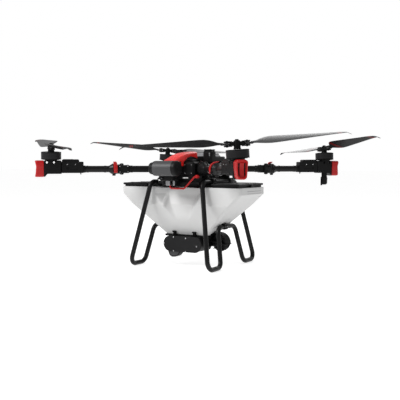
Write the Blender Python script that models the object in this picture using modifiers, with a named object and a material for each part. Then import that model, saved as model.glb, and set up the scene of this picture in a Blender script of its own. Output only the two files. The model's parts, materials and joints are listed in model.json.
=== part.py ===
"""An agricultural drone that spreads granules: four folding arms with two-blade rotors, a white
hopper on a centre body, a feeder with two upright spreading discs, and tube landing gear.

Metres, +Z up, ground at Z = 0. +X is the drone's left-to-right axis and its nose points to -Y."""

import math

import bmesh
import bpy
import numpy as np
from mathutils import Matrix, Vector

COLLECTION = "agricultural_drone"
GAP = 0.0004

# Rotor layout: the four motor axes and the plane of the blades.
MOTOR_X = 0.633
MOTOR_Y = 0.6465
ARM_Z = 0.609
HUB_Z = 0.744
MOTOR_R = math.hypot(MOTOR_X, MOTOR_Y)
ARM_ANGLE = math.degrees(math.atan2(MOTOR_Y, MOTOR_X))
CANT = 4.0
ROTOR_REST = {"FR": 81.6, "FL": -84.0, "RR": -84.0, "RL": 81.6}
ROTOR_RADIUS = 0.597
BLADE_CONE = 2.4
BLADE_PIN_R = 0.052

# Arm: distances run outwards from the drone's centre.
SOCKET_END = 0.230
KNUCKLE_START = 0.430
SPLIT = 0.499
PIN_X = 0.470
PIN_SIDE = 0.037
TUBE_R = 0.020
RING_R = 0.034
ESC_START = MOTOR_R - 0.192
ESC_END = MOTOR_R - 0.060
MOUNT_END = MOTOR_R + 0.045
BUMPER_END = MOTOR_R + 0.100
LATCH_R = 0.0375
LATCH_PIVOT_ANGLE = -25.0

# Centre body.
BODY_HALF_X = 0.118
BODY_FRONT = -0.214
BODY_BACK = 0.215
BODY_LOW = 0.549
BODY_TOP = 0.655
RAIL_X = 0.170
DECK_LOW = 0.530

# Hopper and spreader.
HOPPER_Y = -0.040
HOPPER_HALF_X = 0.434
HOPPER_HALF_Y = 0.165
HOPPER_TOP = 0.4968
HOPPER_BAND = 0.455
HOPPER_LOW = 0.195
OUTLET_HALF_X = 0.150
OUTLET_HALF_Y = 0.0715
HOPPER_WALL = 0.004
FILLER_X = 0.326
COVER_Z = 0.1385
COVER_HALF_X = 0.139
COVER_R = 0.0495
DISC_R = 0.056
GUARD_R = 0.066
ELBOW_X = -0.065

# spreading disc: (its side, its centre); the left disc sits lower and further back
DISCS = {"R": (1, (0.1965, -0.040, 0.147)), "L": (-1, (-0.178, 0.055, 0.097))}

# Landing gear.
GEAR_TUBE_R = 0.0145
GEAR_TOP_X = 0.185
GEAR_FOOT_X = 0.280
GEAR_MID_X = 0.234
GEAR_BEND = 0.045

# name: (colour, roughness, metallic)
FINISHES = {
    "black_plastic": ((0.022, 0.022, 0.023), 0.45, 0.0),
    "dark_metal": ((0.075, 0.076, 0.078), 0.35, 0.6),
    "grey_plastic": ((0.16, 0.16, 0.165), 0.4, 0.0),
    "light_grey": ((0.45, 0.45, 0.46), 0.4, 0.0),
    "red_plastic": ((0.52, 0.02, 0.025), 0.35, 0.0),
    "white_plastic": ((0.82, 0.82, 0.81), 0.45, 0.0),
    "carbon": ((0.018, 0.018, 0.019), 0.3, 0.0),
    "steel": ((0.55, 0.55, 0.56), 0.3, 1.0),
}

# arm name: (angle in plan, side that the latch is on, seen looking outwards with +1 on the left)
ARMS = {
    "FR": (-ARM_ANGLE, -1),
    "FL": (180 + ARM_ANGLE, 1),
    "RR": (ARM_ANGLE, 1),
    "RL": (180 - ARM_ANGLE, -1),
}


# ---------------------------------------------------------------- scene and materials


def clear_scene():
    for obj in list(bpy.data.objects):
        bpy.data.objects.remove(obj)


def make_collection(name):
    made = bpy.data.collections.new(name)
    bpy.context.scene.collection.children.link(made)
    return made


def finish_material(node, finish):
    """One Principled material for each sub-part, with its finish's colour and gloss."""
    colour, roughness, metallic = FINISHES[finish]
    made = bpy.data.materials.new(node)
    made.use_nodes = True
    shader = made.node_tree.nodes["Principled BSDF"]
    shader.inputs["Base Color"].default_value = (*colour, 1)
    shader.inputs["Roughness"].default_value = roughness
    shader.inputs["Metallic"].default_value = metallic
    return made


def add_part(name, mesh, finish, parent=None, smooth=35):
    """A named node: its mesh is in the frame of its parent empty."""
    mesh.shade_smooth()
    mesh.set_sharp_from_angle(angle=math.radians(smooth))
    mesh.materials.clear()
    mesh.materials.append(finish_material(name, finish))
    obj = bpy.data.objects.new(name, mesh)
    PARTS.objects.link(obj)
    obj.parent = parent
    return obj


def add_empty(name, matrix, parent=None):
    """A joint's own frame: an empty on its axis."""
    empty = bpy.data.objects.new(name, None)
    PARTS.objects.link(empty)
    empty.empty_display_size = 0.03
    empty.parent = parent
    empty.matrix_local = matrix
    return empty


# ---------------------------------------------------------------- shapes, as meshes


def mesh_from(bm):
    mesh = bpy.data.meshes.new("shape")
    bmesh.ops.recalc_face_normals(bm, faces=bm.faces)
    bm.to_mesh(mesh)
    bm.free()
    return mesh


def block(low, high, bevel=0.0, segments=1):
    """A box between two corners, with its edges bevelled."""
    bm = bmesh.new()
    bmesh.ops.create_cube(bm, size=1)
    low, high = Vector(low), Vector(high)
    bmesh.ops.scale(bm, vec=high - low, verts=bm.verts)
    bmesh.ops.translate(bm, vec=(high + low) / 2, verts=bm.verts)
    if bevel:
        bmesh.ops.bevel(bm, geom=bm.edges, offset=bevel, segments=segments, affect="EDGES", profile=0.5)
    return mesh_from(bm)


def rod(start, end, radius, sides=16, end_radius=None):
    """A cylinder or a cone between two points."""
    start, end = Vector(start), Vector(end)
    along = end - start
    bm = bmesh.new()
    bmesh.ops.create_cone(
        bm,
        cap_ends=True,
        segments=sides,
        radius1=radius,
        radius2=radius if end_radius is None else end_radius,
        depth=along.length,
    )
    turn = Vector((0, 0, 1)).rotation_difference(along).to_matrix().to_4x4()
    bmesh.ops.transform(bm, matrix=Matrix.Translation((start + end) / 2) @ turn, verts=bm.verts)
    return mesh_from(bm)


def evaluated_mesh(obj):
    bpy.context.view_layer.update()
    graph = bpy.context.evaluated_depsgraph_get()
    mesh = bpy.data.meshes.new_from_object(obj.evaluated_get(graph))
    bpy.data.objects.remove(obj)
    return mesh


def helper(name, data):
    """A guide or a cutter, which is never part of the object."""
    obj = bpy.data.objects.new(name, data)
    HELPERS.objects.link(obj)
    obj.hide_render = True
    obj.display_type = "WIRE"
    return obj


def turned(profile, direction=(0, 0, 1), origin=(0, 0, 0), sides=24):
    """A turned shape. Its profile is (radius, height) pairs that climb the outer side."""
    mesh = bpy.data.meshes.new("profile")
    points = [(radius, 0, height) for radius, height in reversed(profile)]
    edges = [(i, i + 1) for i in range(len(points) - 1)]
    mesh.from_pydata(points, edges, [])
    obj = helper("profile", mesh)
    screw = obj.modifiers.new("Screw", "SCREW")
    screw.steps = screw.render_steps = sides
    screw.use_merge_vertices = True
    screw.merge_threshold = 1e-5
    turned_mesh = evaluated_mesh(obj)
    turn = Vector((0, 0, 1)).rotation_difference(Vector(direction)).to_matrix().to_4x4()
    turned_mesh.transform(Matrix.Translation(origin) @ turn)
    return turned_mesh


def welded(mesh, distance=1e-5):
    """A curve's mesh with its caps joined on and its flat faces made whole."""
    bm = bmesh.new()
    bm.from_mesh(mesh)
    bmesh.ops.remove_doubles(bm, verts=bm.verts, dist=distance)
    bmesh.ops.dissolve_limit(bm, angle_limit=math.radians(0.5), verts=bm.verts, edges=bm.edges)
    return mesh_from(bm)


def outline(points, thickness, across="Y", offset=0.0, bevel=0.0):
    """A flat outline given a thickness. Points are (X, Z) for across Y, (Y, Z) for X, (X, Y) for Z."""
    curve = bpy.data.curves.new("outline", "CURVE")
    curve.dimensions = "2D"
    curve.fill_mode = "BOTH"
    curve.extrude = thickness / 2
    spline = curve.splines.new("POLY")
    spline.points.add(len(points) - 1)
    for point, (u, v) in zip(spline.points, points):
        point.co = (u, v, 0, 1)
    spline.use_cyclic_u = True
    mesh = welded(evaluated_mesh(helper("outline", curve)))
    if across == "Y":
        mesh.transform(Matrix(((1, 0, 0, 0), (0, 0, -1, offset), (0, 1, 0, 0), (0, 0, 0, 1))))
    elif across == "X":
        mesh.transform(Matrix(((0, 0, 1, offset), (1, 0, 0, 0), (0, 1, 0, 0), (0, 0, 0, 1))))
    else:
        mesh.transform(Matrix.Translation((0, 0, offset)))
    if bevel:
        obj = helper("bevelled", mesh)
        rounding = obj.modifiers.new("Bevel", "BEVEL")
        rounding.width = bevel
        rounding.segments = 1
        rounding.limit_method = "ANGLE"
        rounding.angle_limit = math.radians(40)
        mesh = evaluated_mesh(obj)
    return mesh


def pipe(points, radius, cyclic=False, resolution=2):
    """A bent tube along points, with closed ends."""
    curve = bpy.data.curves.new("pipe", "CURVE")
    curve.dimensions = "3D"
    curve.bevel_depth = radius
    curve.bevel_resolution = resolution
    curve.use_fill_caps = True
    spline = curve.splines.new("POLY")
    spline.points.add(len(points) - 1)
    for point, place in zip(spline.points, points):
        point.co = (*place, 1)
    spline.use_cyclic_u = cyclic
    return welded(evaluated_mesh(helper("pipe", curve)))


def combined(pieces, cutters=()):
    """The first shape with the other pieces joined on and then the cutters taken away."""
    base = helper("base", pieces[0])
    others = [(mesh, "UNION") for mesh in pieces[1:]] + [(mesh, "DIFFERENCE") for mesh in cutters]
    tools = []
    for mesh, operation in others:
        tool = helper("tool", mesh)
        modifier = base.modifiers.new(operation, "BOOLEAN")
        modifier.operation = operation
        modifier.solver = "EXACT"
        modifier.object = tool
        tools.append(tool)
    mesh = evaluated_mesh(base)
    for tool in tools:
        bpy.data.objects.remove(tool)
    return mesh


def moved(mesh, matrix):
    mesh.transform(matrix)
    return mesh


def lofted(rings, cap_start=True, cap_end=True):
    """Closed rings of equally many points joined in order; the rings' ends may be left open."""
    rings = np.asarray(rings, float)
    count, around = rings.shape[:2]
    index = np.arange(count * around).reshape(count, around)
    here, there = index[:-1], index[1:]
    after = np.roll(index, -1, axis=1)
    quads = np.stack([here, after[:-1], after[1:], there], axis=-1).reshape(-1, 4)
    faces = quads.tolist()
    if cap_start:
        faces.append(index[0][::-1].tolist())
    if cap_end:
        faces.append(index[-1].tolist())
    mesh = bpy.data.meshes.new("loft")
    mesh.from_pydata(rings.reshape(-1, 3).tolist(), [], faces)
    bm = bmesh.new()
    bm.from_mesh(mesh)
    return mesh_from(bm)


def rounded_path(corners, radius, steps=5, cyclic=False):
    """The corners of a polyline replaced by arcs of one radius."""
    corners = [Vector(c) for c in corners]
    count = len(corners)
    path = []
    for i, corner in enumerate(corners):
        if not cyclic and i in (0, count - 1):
            path.append(corner)
            continue
        back = (corners[i - 1] - corner).normalized()
        ahead = (corners[(i + 1) % count] - corner).normalized()
        half = back.angle(ahead) / 2
        middle = corner + (back + ahead).normalized() * radius / math.sin(half)
        start = corner + back * radius / math.tan(half) - middle
        end = corner + ahead * radius / math.tan(half) - middle
        sweep = start.angle(end)
        for step in range(steps + 1):
            part = step / steps
            spoke = start * math.sin((1 - part) * sweep) + end * math.sin(part * sweep)
            path.append(middle + spoke / math.sin(sweep))
    return path


def obround(half_x, radius, middle_z, steps=8):
    """(X, Z) points of a plate with half-round ends."""
    points = []
    for side, first in ((1, -90), (-1, 90)):
        for step in range(steps + 1):
            angle = math.radians(first + 180 * step / steps)
            x = side * (half_x - radius) + radius * math.cos(angle)
            points.append((x, middle_z + radius * math.sin(angle)))
    return points


def polar(radius, degrees):
    return radius * math.cos(math.radians(degrees)), radius * math.sin(math.radians(degrees))


# ---------------------------------------------------------------- arms


def inner_arm(side):
    """Tapered root sleeve, tube and the inner half of the folding knuckle, with its hinge pin."""
    pin_y = -side * PIN_SIDE
    tube = turned(
        [
            (0, SOCKET_END + GAP),
            (0.040, SOCKET_END + GAP),
            (0.040, 0.246),
            (0.024, 0.288),
            (TUBE_R + 0.0005, 0.294),
            (TUBE_R + 0.0005, 0.408),
            (0.0225, 0.411),
            (0.0225, KNUCKLE_START),
            (TUBE_R, 0.433),
            (TUBE_R, 0.460),
            (0, 0.460),
        ],
        direction=(1, 0, 0),
        sides=14,
    )
    knuckle = block((KNUCKLE_START - 0.001, -0.029, -0.0255), (SPLIT - 0.0006, 0.029, 0.0255), 0.005)
    pieces = [tube, knuckle]
    for low, high in ((-0.034, -0.0114), (0.0114, 0.034)):
        pieces.append(rod((PIN_X, pin_y, low), (PIN_X, pin_y, high), 0.0125, 10))
        y_pair = sorted((-side * 0.020, pin_y))
        pieces.append(
            block(
                (PIN_X - 0.0122, y_pair[0], max(low, -0.0245)),
                (PIN_X + 0.0122, y_pair[1], min(high, 0.0245)),
            )
        )
    pocket = rod((PIN_X, pin_y, -0.0118), (PIN_X, pin_y, 0.0118), 0.0150, 10)
    pin = rod((PIN_X, pin_y, -0.020), (PIN_X, pin_y, 0.020), 0.0050, 8)
    return combined([combined(pieces, [pocket]), pin])


def outer_arm(side):
    """Outer half of the knuckle with its hinge lug, the ring that the latch closes on, and the tube."""
    pin_y = -side * PIN_SIDE
    tube = turned(
        [
            (0, SPLIT + GAP),
            (0.0285, SPLIT + GAP),
            (0.0300, 0.503),
            (0.0300, 0.511),
            (RING_R, 0.514),
            (RING_R, 0.533),
            (0.029, 0.541),
            (TUBE_R + 0.002, 0.553),
            (TUBE_R, 0.558),
            (TUBE_R, ESC_END + 0.030),
            (0, ESC_END + 0.030),
        ],
        direction=(1, 0, 0),
        sides=14,
    )
    lug_y = sorted((-side * 0.0310, -side * 0.0440))
    lug = block((PIN_X, lug_y[0], -0.0108), (0.533, lug_y[1], 0.0108))
    root_y = sorted((-side * 0.020, -side * 0.0440))
    root = block((0.505, root_y[0], -0.0108), (0.533, root_y[1], 0.0108))
    eye = rod((PIN_X, pin_y, -0.0108), (PIN_X, pin_y, 0.0108), 0.0125, 10)
    bump = rod((0.524, 0, -0.020), (0.524, 0, -0.041), 0.010, 8)
    pieces = [tube, root, lug, eye, bump]
    y, z = polar(0.0405, LATCH_PIVOT_ANGLE)
    for low, high in ((0.5010, 0.5066), (0.5304, 0.5360)):
        pieces.append(rod((low, side * y, z), (high, side * y, z), 0.0070, 8))
        inner = sorted((side * 0.022, side * y))
        pieces.append(block((low, inner[0], z - 0.006), (high, inner[1], z + 0.006)))
    bore = rod((PIN_X, pin_y, -0.02), (PIN_X, pin_y, 0.02), 0.0056, 8)
    pin = rod((0.503, side * y, z), (0.534, side * y, z), 0.0024, 8)
    barrel_room = rod((0.5066, side * y, z), (0.5304, side * y, z), 0.0078, 12)
    return combined([combined(pieces, [bore, barrel_room]), pin])


def latch(side):
    """A curved lever over the ring, hinged on a pin at its lower end."""
    y, z = polar(0.0405, LATCH_PIVOT_ANGLE)
    inner, outer = [], []
    for degrees in range(-10, 103, 14):
        a, b = polar(LATCH_R, degrees)
        inner.append((side * a, b))
        a, b = polar(LATCH_R + (0.0085 if degrees < 85 else 0.0105), degrees)
        outer.append((side * a, b))
    foot = polar(0.0405, LATCH_PIVOT_ANGLE + 2)
    lever = outline(inner + outer[::-1], 0.0226, across="X", offset=0.5185)
    barrel = rod((0.5072, side * y, z), (0.5298, side * y, z), 0.0068, 12)
    stem_y = sorted((side * (foot[0] - 0.003), side * (foot[0] + 0.0055)))
    stem = block((0.5080, stem_y[0], z), (0.5290, stem_y[1], z + 0.013))
    bore = rod((0.50, side * y, z), (0.54, side * y, z), 0.0029, 8)
    return combined([lever, barrel, stem], [bore])


def esc_box():
    """Speed-controller housing around the tube, stepped up towards the motor."""
    low = block((ESC_START, -0.030, -0.0240), (ESC_END, 0.030, 0.046), 0.003)
    high = block((ESC_START + 0.026, -0.027, 0.030), (ESC_END - 0.004, 0.027, 0.0585), 0.003)
    collar = rod((ESC_START - 0.014, 0, 0), (ESC_START + 0.010, 0, 0), 0.0223, 12)
    bore = rod((ESC_START - 0.03, 0, 0), (ESC_END + 0.02, 0, 0), TUBE_R + 2 * GAP, 14)
    vents = [
        block((ESC_START + 0.050, y - 0.002, -0.002), (ESC_START + 0.110, y + 0.002, 0.003))
        for y in (-0.031, 0.031)
    ]
    return combined([low, high, collar], [bore, *vents])


def motor_mount(cant):
    """Cast mount on the tube's end, with two through holes, a raised deck and the stator on top."""
    body = block((ESC_END + GAP, -0.033, -0.049), (MOUNT_END, 0.033, 0.0535), 0.006)
    below = [(ESC_END - 0.01, -0.0285), (MOTOR_R + 0.024, -0.0285), (MOUNT_END - 0.002, -0.0500), (MOUNT_END - 0.002, -0.0700), (ESC_END - 0.01, -0.0700)]
    waist = outline(below, 0.1, across="Y")
    holes = [rod((MOTOR_R + x, -0.05, 0.041), (MOTOR_R + x, 0.05, 0.041), 0.0072, 8) for x in (-0.016, 0.026)]
    socket = rod((ESC_END - 0.02, 0, 0), (ESC_END + 0.031, 0, 0), TUBE_R + 2 * GAP, 14)
    stator = turned(
        [(0, -0.105), (0.036, -0.105), (0.036, -0.0780), (0.050, -0.0775), (0.050, -0.0400), (0, -0.0400)],
        sides=16,
    )
    return combined([body, moved(stator, cant)], [socket, waist, *holes])


def bumper():
    """Rounded end guard: its lips stand proud of a recessed face panel with two slots."""
    start = MOUNT_END + GAP
    side_view = [
        (start, -0.048),
        (BUMPER_END - 0.004, -0.048),
        (BUMPER_END, -0.040),
        (BUMPER_END - 0.009, -0.024),
        (BUMPER_END - 0.011, 0.006),
        (BUMPER_END - 0.007, 0.036),
        (BUMPER_END, 0.050),
        (BUMPER_END - 0.006, 0.054),
        (start, 0.054),
    ]
    body = outline(side_view, 0.070, across="Y", bevel=0.004)
    narrowing = []
    for side in (-1, 1):
        wedge = [(side * 0.0355, 0.020), (side * 0.060, 0.020), (side * 0.060, -0.060), (side * 0.024, -0.060)]
        narrowing.append(outline(wedge, 0.3, across="X", offset=BUMPER_END - 0.02))
    slots = [
        block((BUMPER_END - 0.016, y - 0.003, -0.022), (BUMPER_END + 0.01, y + 0.003, 0.030)) for y in (-0.016, 0.016)
    ]
    return combined([body], narrowing + slots)


def motor_bell():
    """Outrunner bell: a cup that opens downwards, with a rim at each edge."""
    cup = [
        (0.0, -0.0365),
        (0.0525, -0.0365),
        (0.0525, -0.0745),
        (0.0605, -0.0745),
        (0.0605, -0.0330),
        (0.0575, -0.0295),
        (0.0, -0.0295),
    ]
    return turned(cup, sides=20)


def rotor_hub():
    """Hub boss with a domed cap and a cross bar that ends in a fork for each blade."""
    boss = turned(
        [(0, -0.0291), (0.0185, -0.0291), (0.0185, 0.0160), (0.0120, 0.0220), (0, 0.0232)],
        sides=14,
    )
    bar = block((-0.060, -0.0125, -0.0130), (0.060, 0.0125, 0.0130), 0.002)
    ends = [block((sign * BLADE_PIN_R - 0.0150, -0.0140, -0.0145), (sign * BLADE_PIN_R + 0.0150, 0.0140, 0.0145))
            for sign in (-1, 1)]
    forks = [
        block((min(sign * 0.0368, sign * 0.08), -0.03, -0.0064), (max(sign * 0.0368, sign * 0.08), 0.03, 0.0064))
        for sign in (-1, 1)
    ]
    pins = [rod((sign * BLADE_PIN_R, 0, -0.010), (sign * BLADE_PIN_R, 0, 0.010), 0.0038, 8) for sign in (-1, 1)]
    return combined([combined([boss, bar, *ends], forks), *pins])


def blade(turn):
    """Folding blade: a flat root eye, a twisted aerofoil and a narrow tip turned down at its end.

    Its chord grows to a quarter of the radius and then tapers, and its pitch falls towards the tip."""
    span = ROTOR_RADIUS - BLADE_PIN_R
    stations = np.array([0.024, 0.048, 0.080, 0.125, 0.210, 0.330, 0.450, 0.520, span])
    share = (stations + BLADE_PIN_R) / ROTOR_RADIUS
    chord = np.interp(share, [0.12, 0.17, 0.24, 0.31, 0.60, 0.90, 0.97, 1.0], [0.024, 0.040, 0.088, 0.114, 0.088, 0.052, 0.034, 0.016])
    pitch = np.radians(np.interp(share, [0.12, 0.20, 0.30, 0.60, 1.0], [8, 19, 19, 15, 8]))
    thick = np.interp(share, [0.12, 0.20, 0.35, 1.0], [0.0110, 0.0110, 0.0090, 0.0030])
    sweep = -0.014 * np.clip((share - 0.85) / 0.15, 0, 1) ** 2
    droop = -0.010 * np.clip((share - 0.965) / 0.035, 0, 1)
    around = np.radians([0, 45, 100, 145, 180, 215, 260, 315])
    forward = 0.5 * np.cos(around) + 0.14
    upward = 0.5 * np.sin(around) * np.where(np.sin(around) > 0, 1.25, 0.75)
    x = np.repeat(stations[:, None], len(around), 1)
    ahead = chord[:, None] * forward[None] + sweep[:, None]
    above = thick[:, None] * upward[None]
    y = turn * (ahead * np.cos(pitch)[:, None] - above * np.sin(pitch)[:, None])
    rise = math.tan(math.radians(BLADE_CONE))
    z = ahead * np.sin(pitch)[:, None] + above * np.cos(pitch)[:, None] + x * rise + droop[:, None]
    wing = lofted(np.stack([x, y, z], axis=-1))
    eye = rod((0, 0, -0.0059), (0, 0, 0.0059), 0.0125, 10)
    neck = block((0, -0.0100, -0.0059), (0.034, 0.0100, 0.0059))
    bore = rod((0, 0, -0.02), (0, 0, 0.02), 0.0044, 8)
    return combined([wing, neck, eye], [bore])


def spray_pod():
    """Round sensor pod that hangs under a rear motor mount, with a small fin on its inner side."""
    pod = turned(
        [(0, -0.1080), (0.0140, -0.1080), (0.0205, -0.0990), (0.0215, -0.0700), (0.0185, -0.0494), (0.0185, -0.0289), (0, -0.0289)],
        origin=(MOTOR_R + 0.002, 0, 0),
        sides=16,
    )
    fin = block((MOTOR_R - 0.0235, -0.0035, -0.1130), (MOTOR_R - 0.0120, 0.0035, -0.0560), 0.001)
    return combined([pod, fin])


def build_arm(name, angle, side):
    """One whole arm. Its frame has X outwards; the pieces past the split turn about the hinge pin."""
    root = add_empty(
        f"arm_frame_{name}",
        Matrix.Translation((0, 0, ARM_Z)) @ Matrix.Rotation(math.radians(angle), 4, "Z"),
    )
    pin_place = Matrix.Translation((PIN_X, -side * PIN_SIDE, 0))
    fold = add_empty(f"fold_axis_{name}", pin_place, root)
    to_fold = pin_place.inverted()
    cant = (
        Matrix.Translation((MOTOR_R, 0, HUB_Z - ARM_Z))
        @ Matrix.Rotation(math.radians(-side * CANT), 4, "X")
    )
    add_part(f"inner_arm_{name}", inner_arm(side), "black_plastic", root)
    add_part(f"outer_arm_{name}", moved(outer_arm(side), to_fold), "black_plastic", fold)
    y, z = polar(0.0405, LATCH_PIVOT_ANGLE)
    latch_place = Matrix.Translation((0.5185, side * y, z))
    hinge = add_empty(f"latch_axis_{name}", to_fold @ latch_place, fold)
    add_part(f"latch_{name}", moved(latch(side), latch_place.inverted()), "red_plastic", hinge)
    add_part(f"esc_box_{name}", moved(esc_box(), to_fold), "black_plastic", fold)
    add_part(f"motor_mount_{name}", moved(motor_mount(cant), to_fold), "black_plastic", fold)
    add_part(f"bumper_{name}", moved(bumper(), to_fold), "red_plastic", fold)
    if name.startswith("R"):
        add_part(f"spray_pod_{name}", moved(spray_pod(), to_fold), "black_plastic", fold)
    spin = add_empty(
        f"rotor_axis_{name}",
        to_fold @ cant @ Matrix.Rotation(math.radians(ROTOR_REST[name]), 4, "Z"),
        fold,
    )
    add_part(f"motor_bell_{name}", motor_bell(), "dark_metal", spin)
    add_part(f"rotor_hub_{name}", rotor_hub(), "black_plastic", spin)
    for letter, half_turn in (("a", 0), ("b", 180)):
        place = Matrix.Rotation(math.radians(half_turn), 4, "Z") @ Matrix.Translation((BLADE_PIN_R, 0, 0))
        pin = add_empty(f"blade_axis_{letter}_{name}", place, spin)
        add_part(f"blade_{letter}_{name}", blade(-side), "carbon", pin, smooth=60)


# ---------------------------------------------------------------- centre body


def main_frame():
    """Centre body with four arm sockets, a battery bay, two latch arches and the hopper's saddle."""
    core = block((-BODY_HALF_X, BODY_FRONT, BODY_LOW), (BODY_HALF_X, BODY_BACK, BODY_TOP), 0.010)
    pieces = [core]
    for angle, _ in ARMS.values():
        x, y = polar(1, angle)
        pieces.append(
            rod((0.10 * x, 0.10 * y, ARM_Z), (SOCKET_END * x, SOCKET_END * y, ARM_Z), 0.0435, 14)
        )
    pieces.append(block((-0.108, 0.000, 0.64), (0.108, 0.205, 0.690), 0.004))
    pieces.append(block((-0.034, -0.190, 0.64), (0.034, 0.010, 0.668), 0.004))
    for side in (-1, 1):
        x_pair = sorted((side * 0.0735, side * 0.1385))
        pieces.append(block((x_pair[0], -0.035, 0.640), (x_pair[1], 0.032, 0.7305), 0.012))
        rail = sorted((side * 0.135, side * RAIL_X))
        pieces.append(block((rail[0], -0.150, DECK_LOW - 0.012), (rail[1], 0.140, DECK_LOW + 0.022), 0.002))
    pieces.append(block((-0.160, -0.195, DECK_LOW), (0.160, 0.175, BODY_LOW + 0.004), 0.003))
    for y in (-0.150, 0.055):
        pieces.append(block((-0.150, y, HOPPER_TOP + GAP), (0.150, y + 0.036, DECK_LOW + 0.003), 0.002))
    pieces.append(block((-0.026, -0.3145, 0.588), (0.038, BODY_FRONT + 0.02, 0.640), 0.004))
    pieces.append(block((-0.060, -0.290, 0.5725), (0.016, BODY_FRONT + 0.02, 0.592), 0.002))
    pieces.append(block((0.152, -0.236, 0.551), (0.168, -0.203, 0.5705), 0.003))
    pieces.append(block((0.100, -0.2145, 0.553), (0.160, -0.2040, 0.5685), 0.002))
    bay = block((-0.0855, 0.0215, 0.576), (0.0855, 0.1885, 0.80))
    slots = []
    for side in (-1, 1):
        for inner_x, near_y, far_y in ((0.1065, -0.10, -0.015), (0.0600, -0.0200, 0.0345)):
            x_pair = sorted((side * inner_x, side * 0.1275))
            slots.append(block((x_pair[0], near_y, 0.674), (x_pair[1], far_y, 0.713)))
    return combined(pieces, [bay, *slots])


def nose_hood():
    """Thin hood over the nose: open below, with a leg at each side and an arch behind it."""
    top = [(-0.310, 0.658), (-0.262, 0.679), (-0.200, 0.700), (-0.130, 0.712), (-0.050, 0.7175)]
    under = [(-0.050, 0.675), (-0.085, 0.684), (-0.130, 0.688), (-0.172, 0.679), (-0.196, 0.660)]
    leg = [(-0.2165, 0.655), (-0.2165, 0.627), (-0.238, 0.627), (-0.240, 0.655), (-0.262, 0.660)]
    body = outline(top + under + leg, 0.092, across="X", bevel=0.003)
    room = [(-0.320, 0.640), (-0.262, 0.6745), (-0.200, 0.6955), (-0.130, 0.7075), (-0.0545, 0.713), (-0.0545, 0.60), (-0.320, 0.60)]
    return combined([body], [outline(room, 0.084, across="X")])


def radar():
    """Forward radar: a cylinder that lies across the nose, with a stepped end cap at each side."""
    return turned(
        [
            (0, -0.080),
            (0.040, -0.080),
            (0.044, -0.077),
            (0.0455, -0.070),
            (0.0455, 0.082),
            (0.044, 0.095),
            (0.041, 0.098),
            (0, 0.098),
        ],
        direction=(1, 0, 0),
        origin=(0, -0.3602, 0.614),
        sides=20,
    )


def front_sensor():
    """Small camera housing under the radar, with a lens barrel."""
    body = block((-0.088, -0.300, 0.536), (0.018, -0.2145, 0.5721), 0.006)
    lens = rod((-0.060, -0.292, 0.554), (-0.060, -0.309, 0.554), 0.011, 14)
    return combined([body, lens])


def battery():
    """Smart battery: a tall block with a stepped lid and a carrying slot in its top."""
    case = block((-0.0848, 0.0222, 0.5768), (0.0848, 0.1878, 0.700), 0.006)
    lid = block((-0.078, 0.028, 0.690), (0.078, 0.182, 0.7125), 0.006)
    slot = block((-0.045, 0.085, 0.698), (0.045, 0.125, 0.73))
    return combined([case, lid], [slot])


def release_bar():
    """Bent bar across the front that swings down about a pin at its right end."""
    y = -0.2515
    corners = [(-0.029, y, 0.508), (-0.026, y, 0.4915), (0.072, y, 0.4915), (0.146, y, 0.5645), (0.161, y, 0.565)]
    bar = pipe(rounded_path(corners, 0.012, 3), 0.0055, resolution=2)
    boss = rod((0.160, y - 0.006, 0.565), (0.160, -0.2364, 0.565), 0.010, 14)
    return combined([bar, boss])


# ---------------------------------------------------------------- hopper and spreader


def hopper_ring(z, inset=0.0):
    """One level section of the hopper: a rounded rectangle whose front is pressed in at the middle."""
    rise = min(1.0, (z - HOPPER_LOW) / (HOPPER_BAND - HOPPER_LOW))
    half_x = OUTLET_HALF_X + (HOPPER_HALF_X - OUTLET_HALF_X) * rise - inset
    half_y = OUTLET_HALF_Y + (HOPPER_HALF_Y - OUTLET_HALF_Y) * min(1.0, rise * 1.35) - inset
    radius = 0.018 + 0.014 * rise
    fade = min(1.0, max(0.0, (z - 0.30) / (HOPPER_BAND - 0.30)))
    recess_half = 0.060 + 0.125 * fade
    depth = 0.058 * fade * fade * (3 - 2 * fade)
    points = []
    for x in np.linspace(-1, 1, 13) * min(half_x - radius, 0.20):
        press = 0.5 + 0.5 * math.cos(math.pi * min(1.0, max(0.0, abs(x) / recess_half - 0.35) / 0.65))
        points.append((x, HOPPER_Y - half_y + depth * press, z))
    for sign_x, sign_y, first in ((1, -1, -90), (1, 1, 0), (-1, 1, 90), (-1, -1, 180)):
        for step in range(4):
            a, b = polar(radius, first + 30 * step)
            points.append((sign_x * (half_x - radius) + a, HOPPER_Y + sign_y * (half_y - radius) + b, z))
    return points


def hopper():
    """Moulded hopper shell: open at its outlet below and at a filler opening under each lid."""
    levels = [HOPPER_LOW, 0.255, 0.315, 0.365, 0.410, HOPPER_BAND, HOPPER_TOP]
    outside = [hopper_ring(z) for z in levels]
    inside = [hopper_ring(z, HOPPER_WALL) for z in levels[:-1] + [HOPPER_TOP - HOPPER_WALL]]
    shell = lofted(inside[::-1] + outside)
    fillers = [
        block((side * FILLER_X - 0.070, HOPPER_Y - 0.120, 0.47), (side * FILLER_X + 0.070, HOPPER_Y + 0.120, 0.53))
        for side in (-1, 1)
    ]
    return combined([shell], fillers)


def hopper_lid(side):
    """Flat lid with a stepped rim, a plug that drops into the filler and a hinge barrel inboard."""
    x_pair = sorted((side * 0.234, side * 0.4215))
    step_pair = sorted((side * 0.240, side * 0.4130))
    top = block((x_pair[0], HOPPER_Y - 0.168, 0.5075), (x_pair[1], HOPPER_Y + 0.168, 0.5215), 0.004)
    rim = block((step_pair[0], HOPPER_Y - 0.158, HOPPER_TOP + GAP), (step_pair[1], HOPPER_Y + 0.158, 0.5100))
    barrel = rod((side * 0.2300, HOPPER_Y - 0.060, 0.5140), (side * 0.2300, HOPPER_Y + 0.060, 0.5140), 0.0068, 12)
    return combined([top, rim, barrel])


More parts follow.
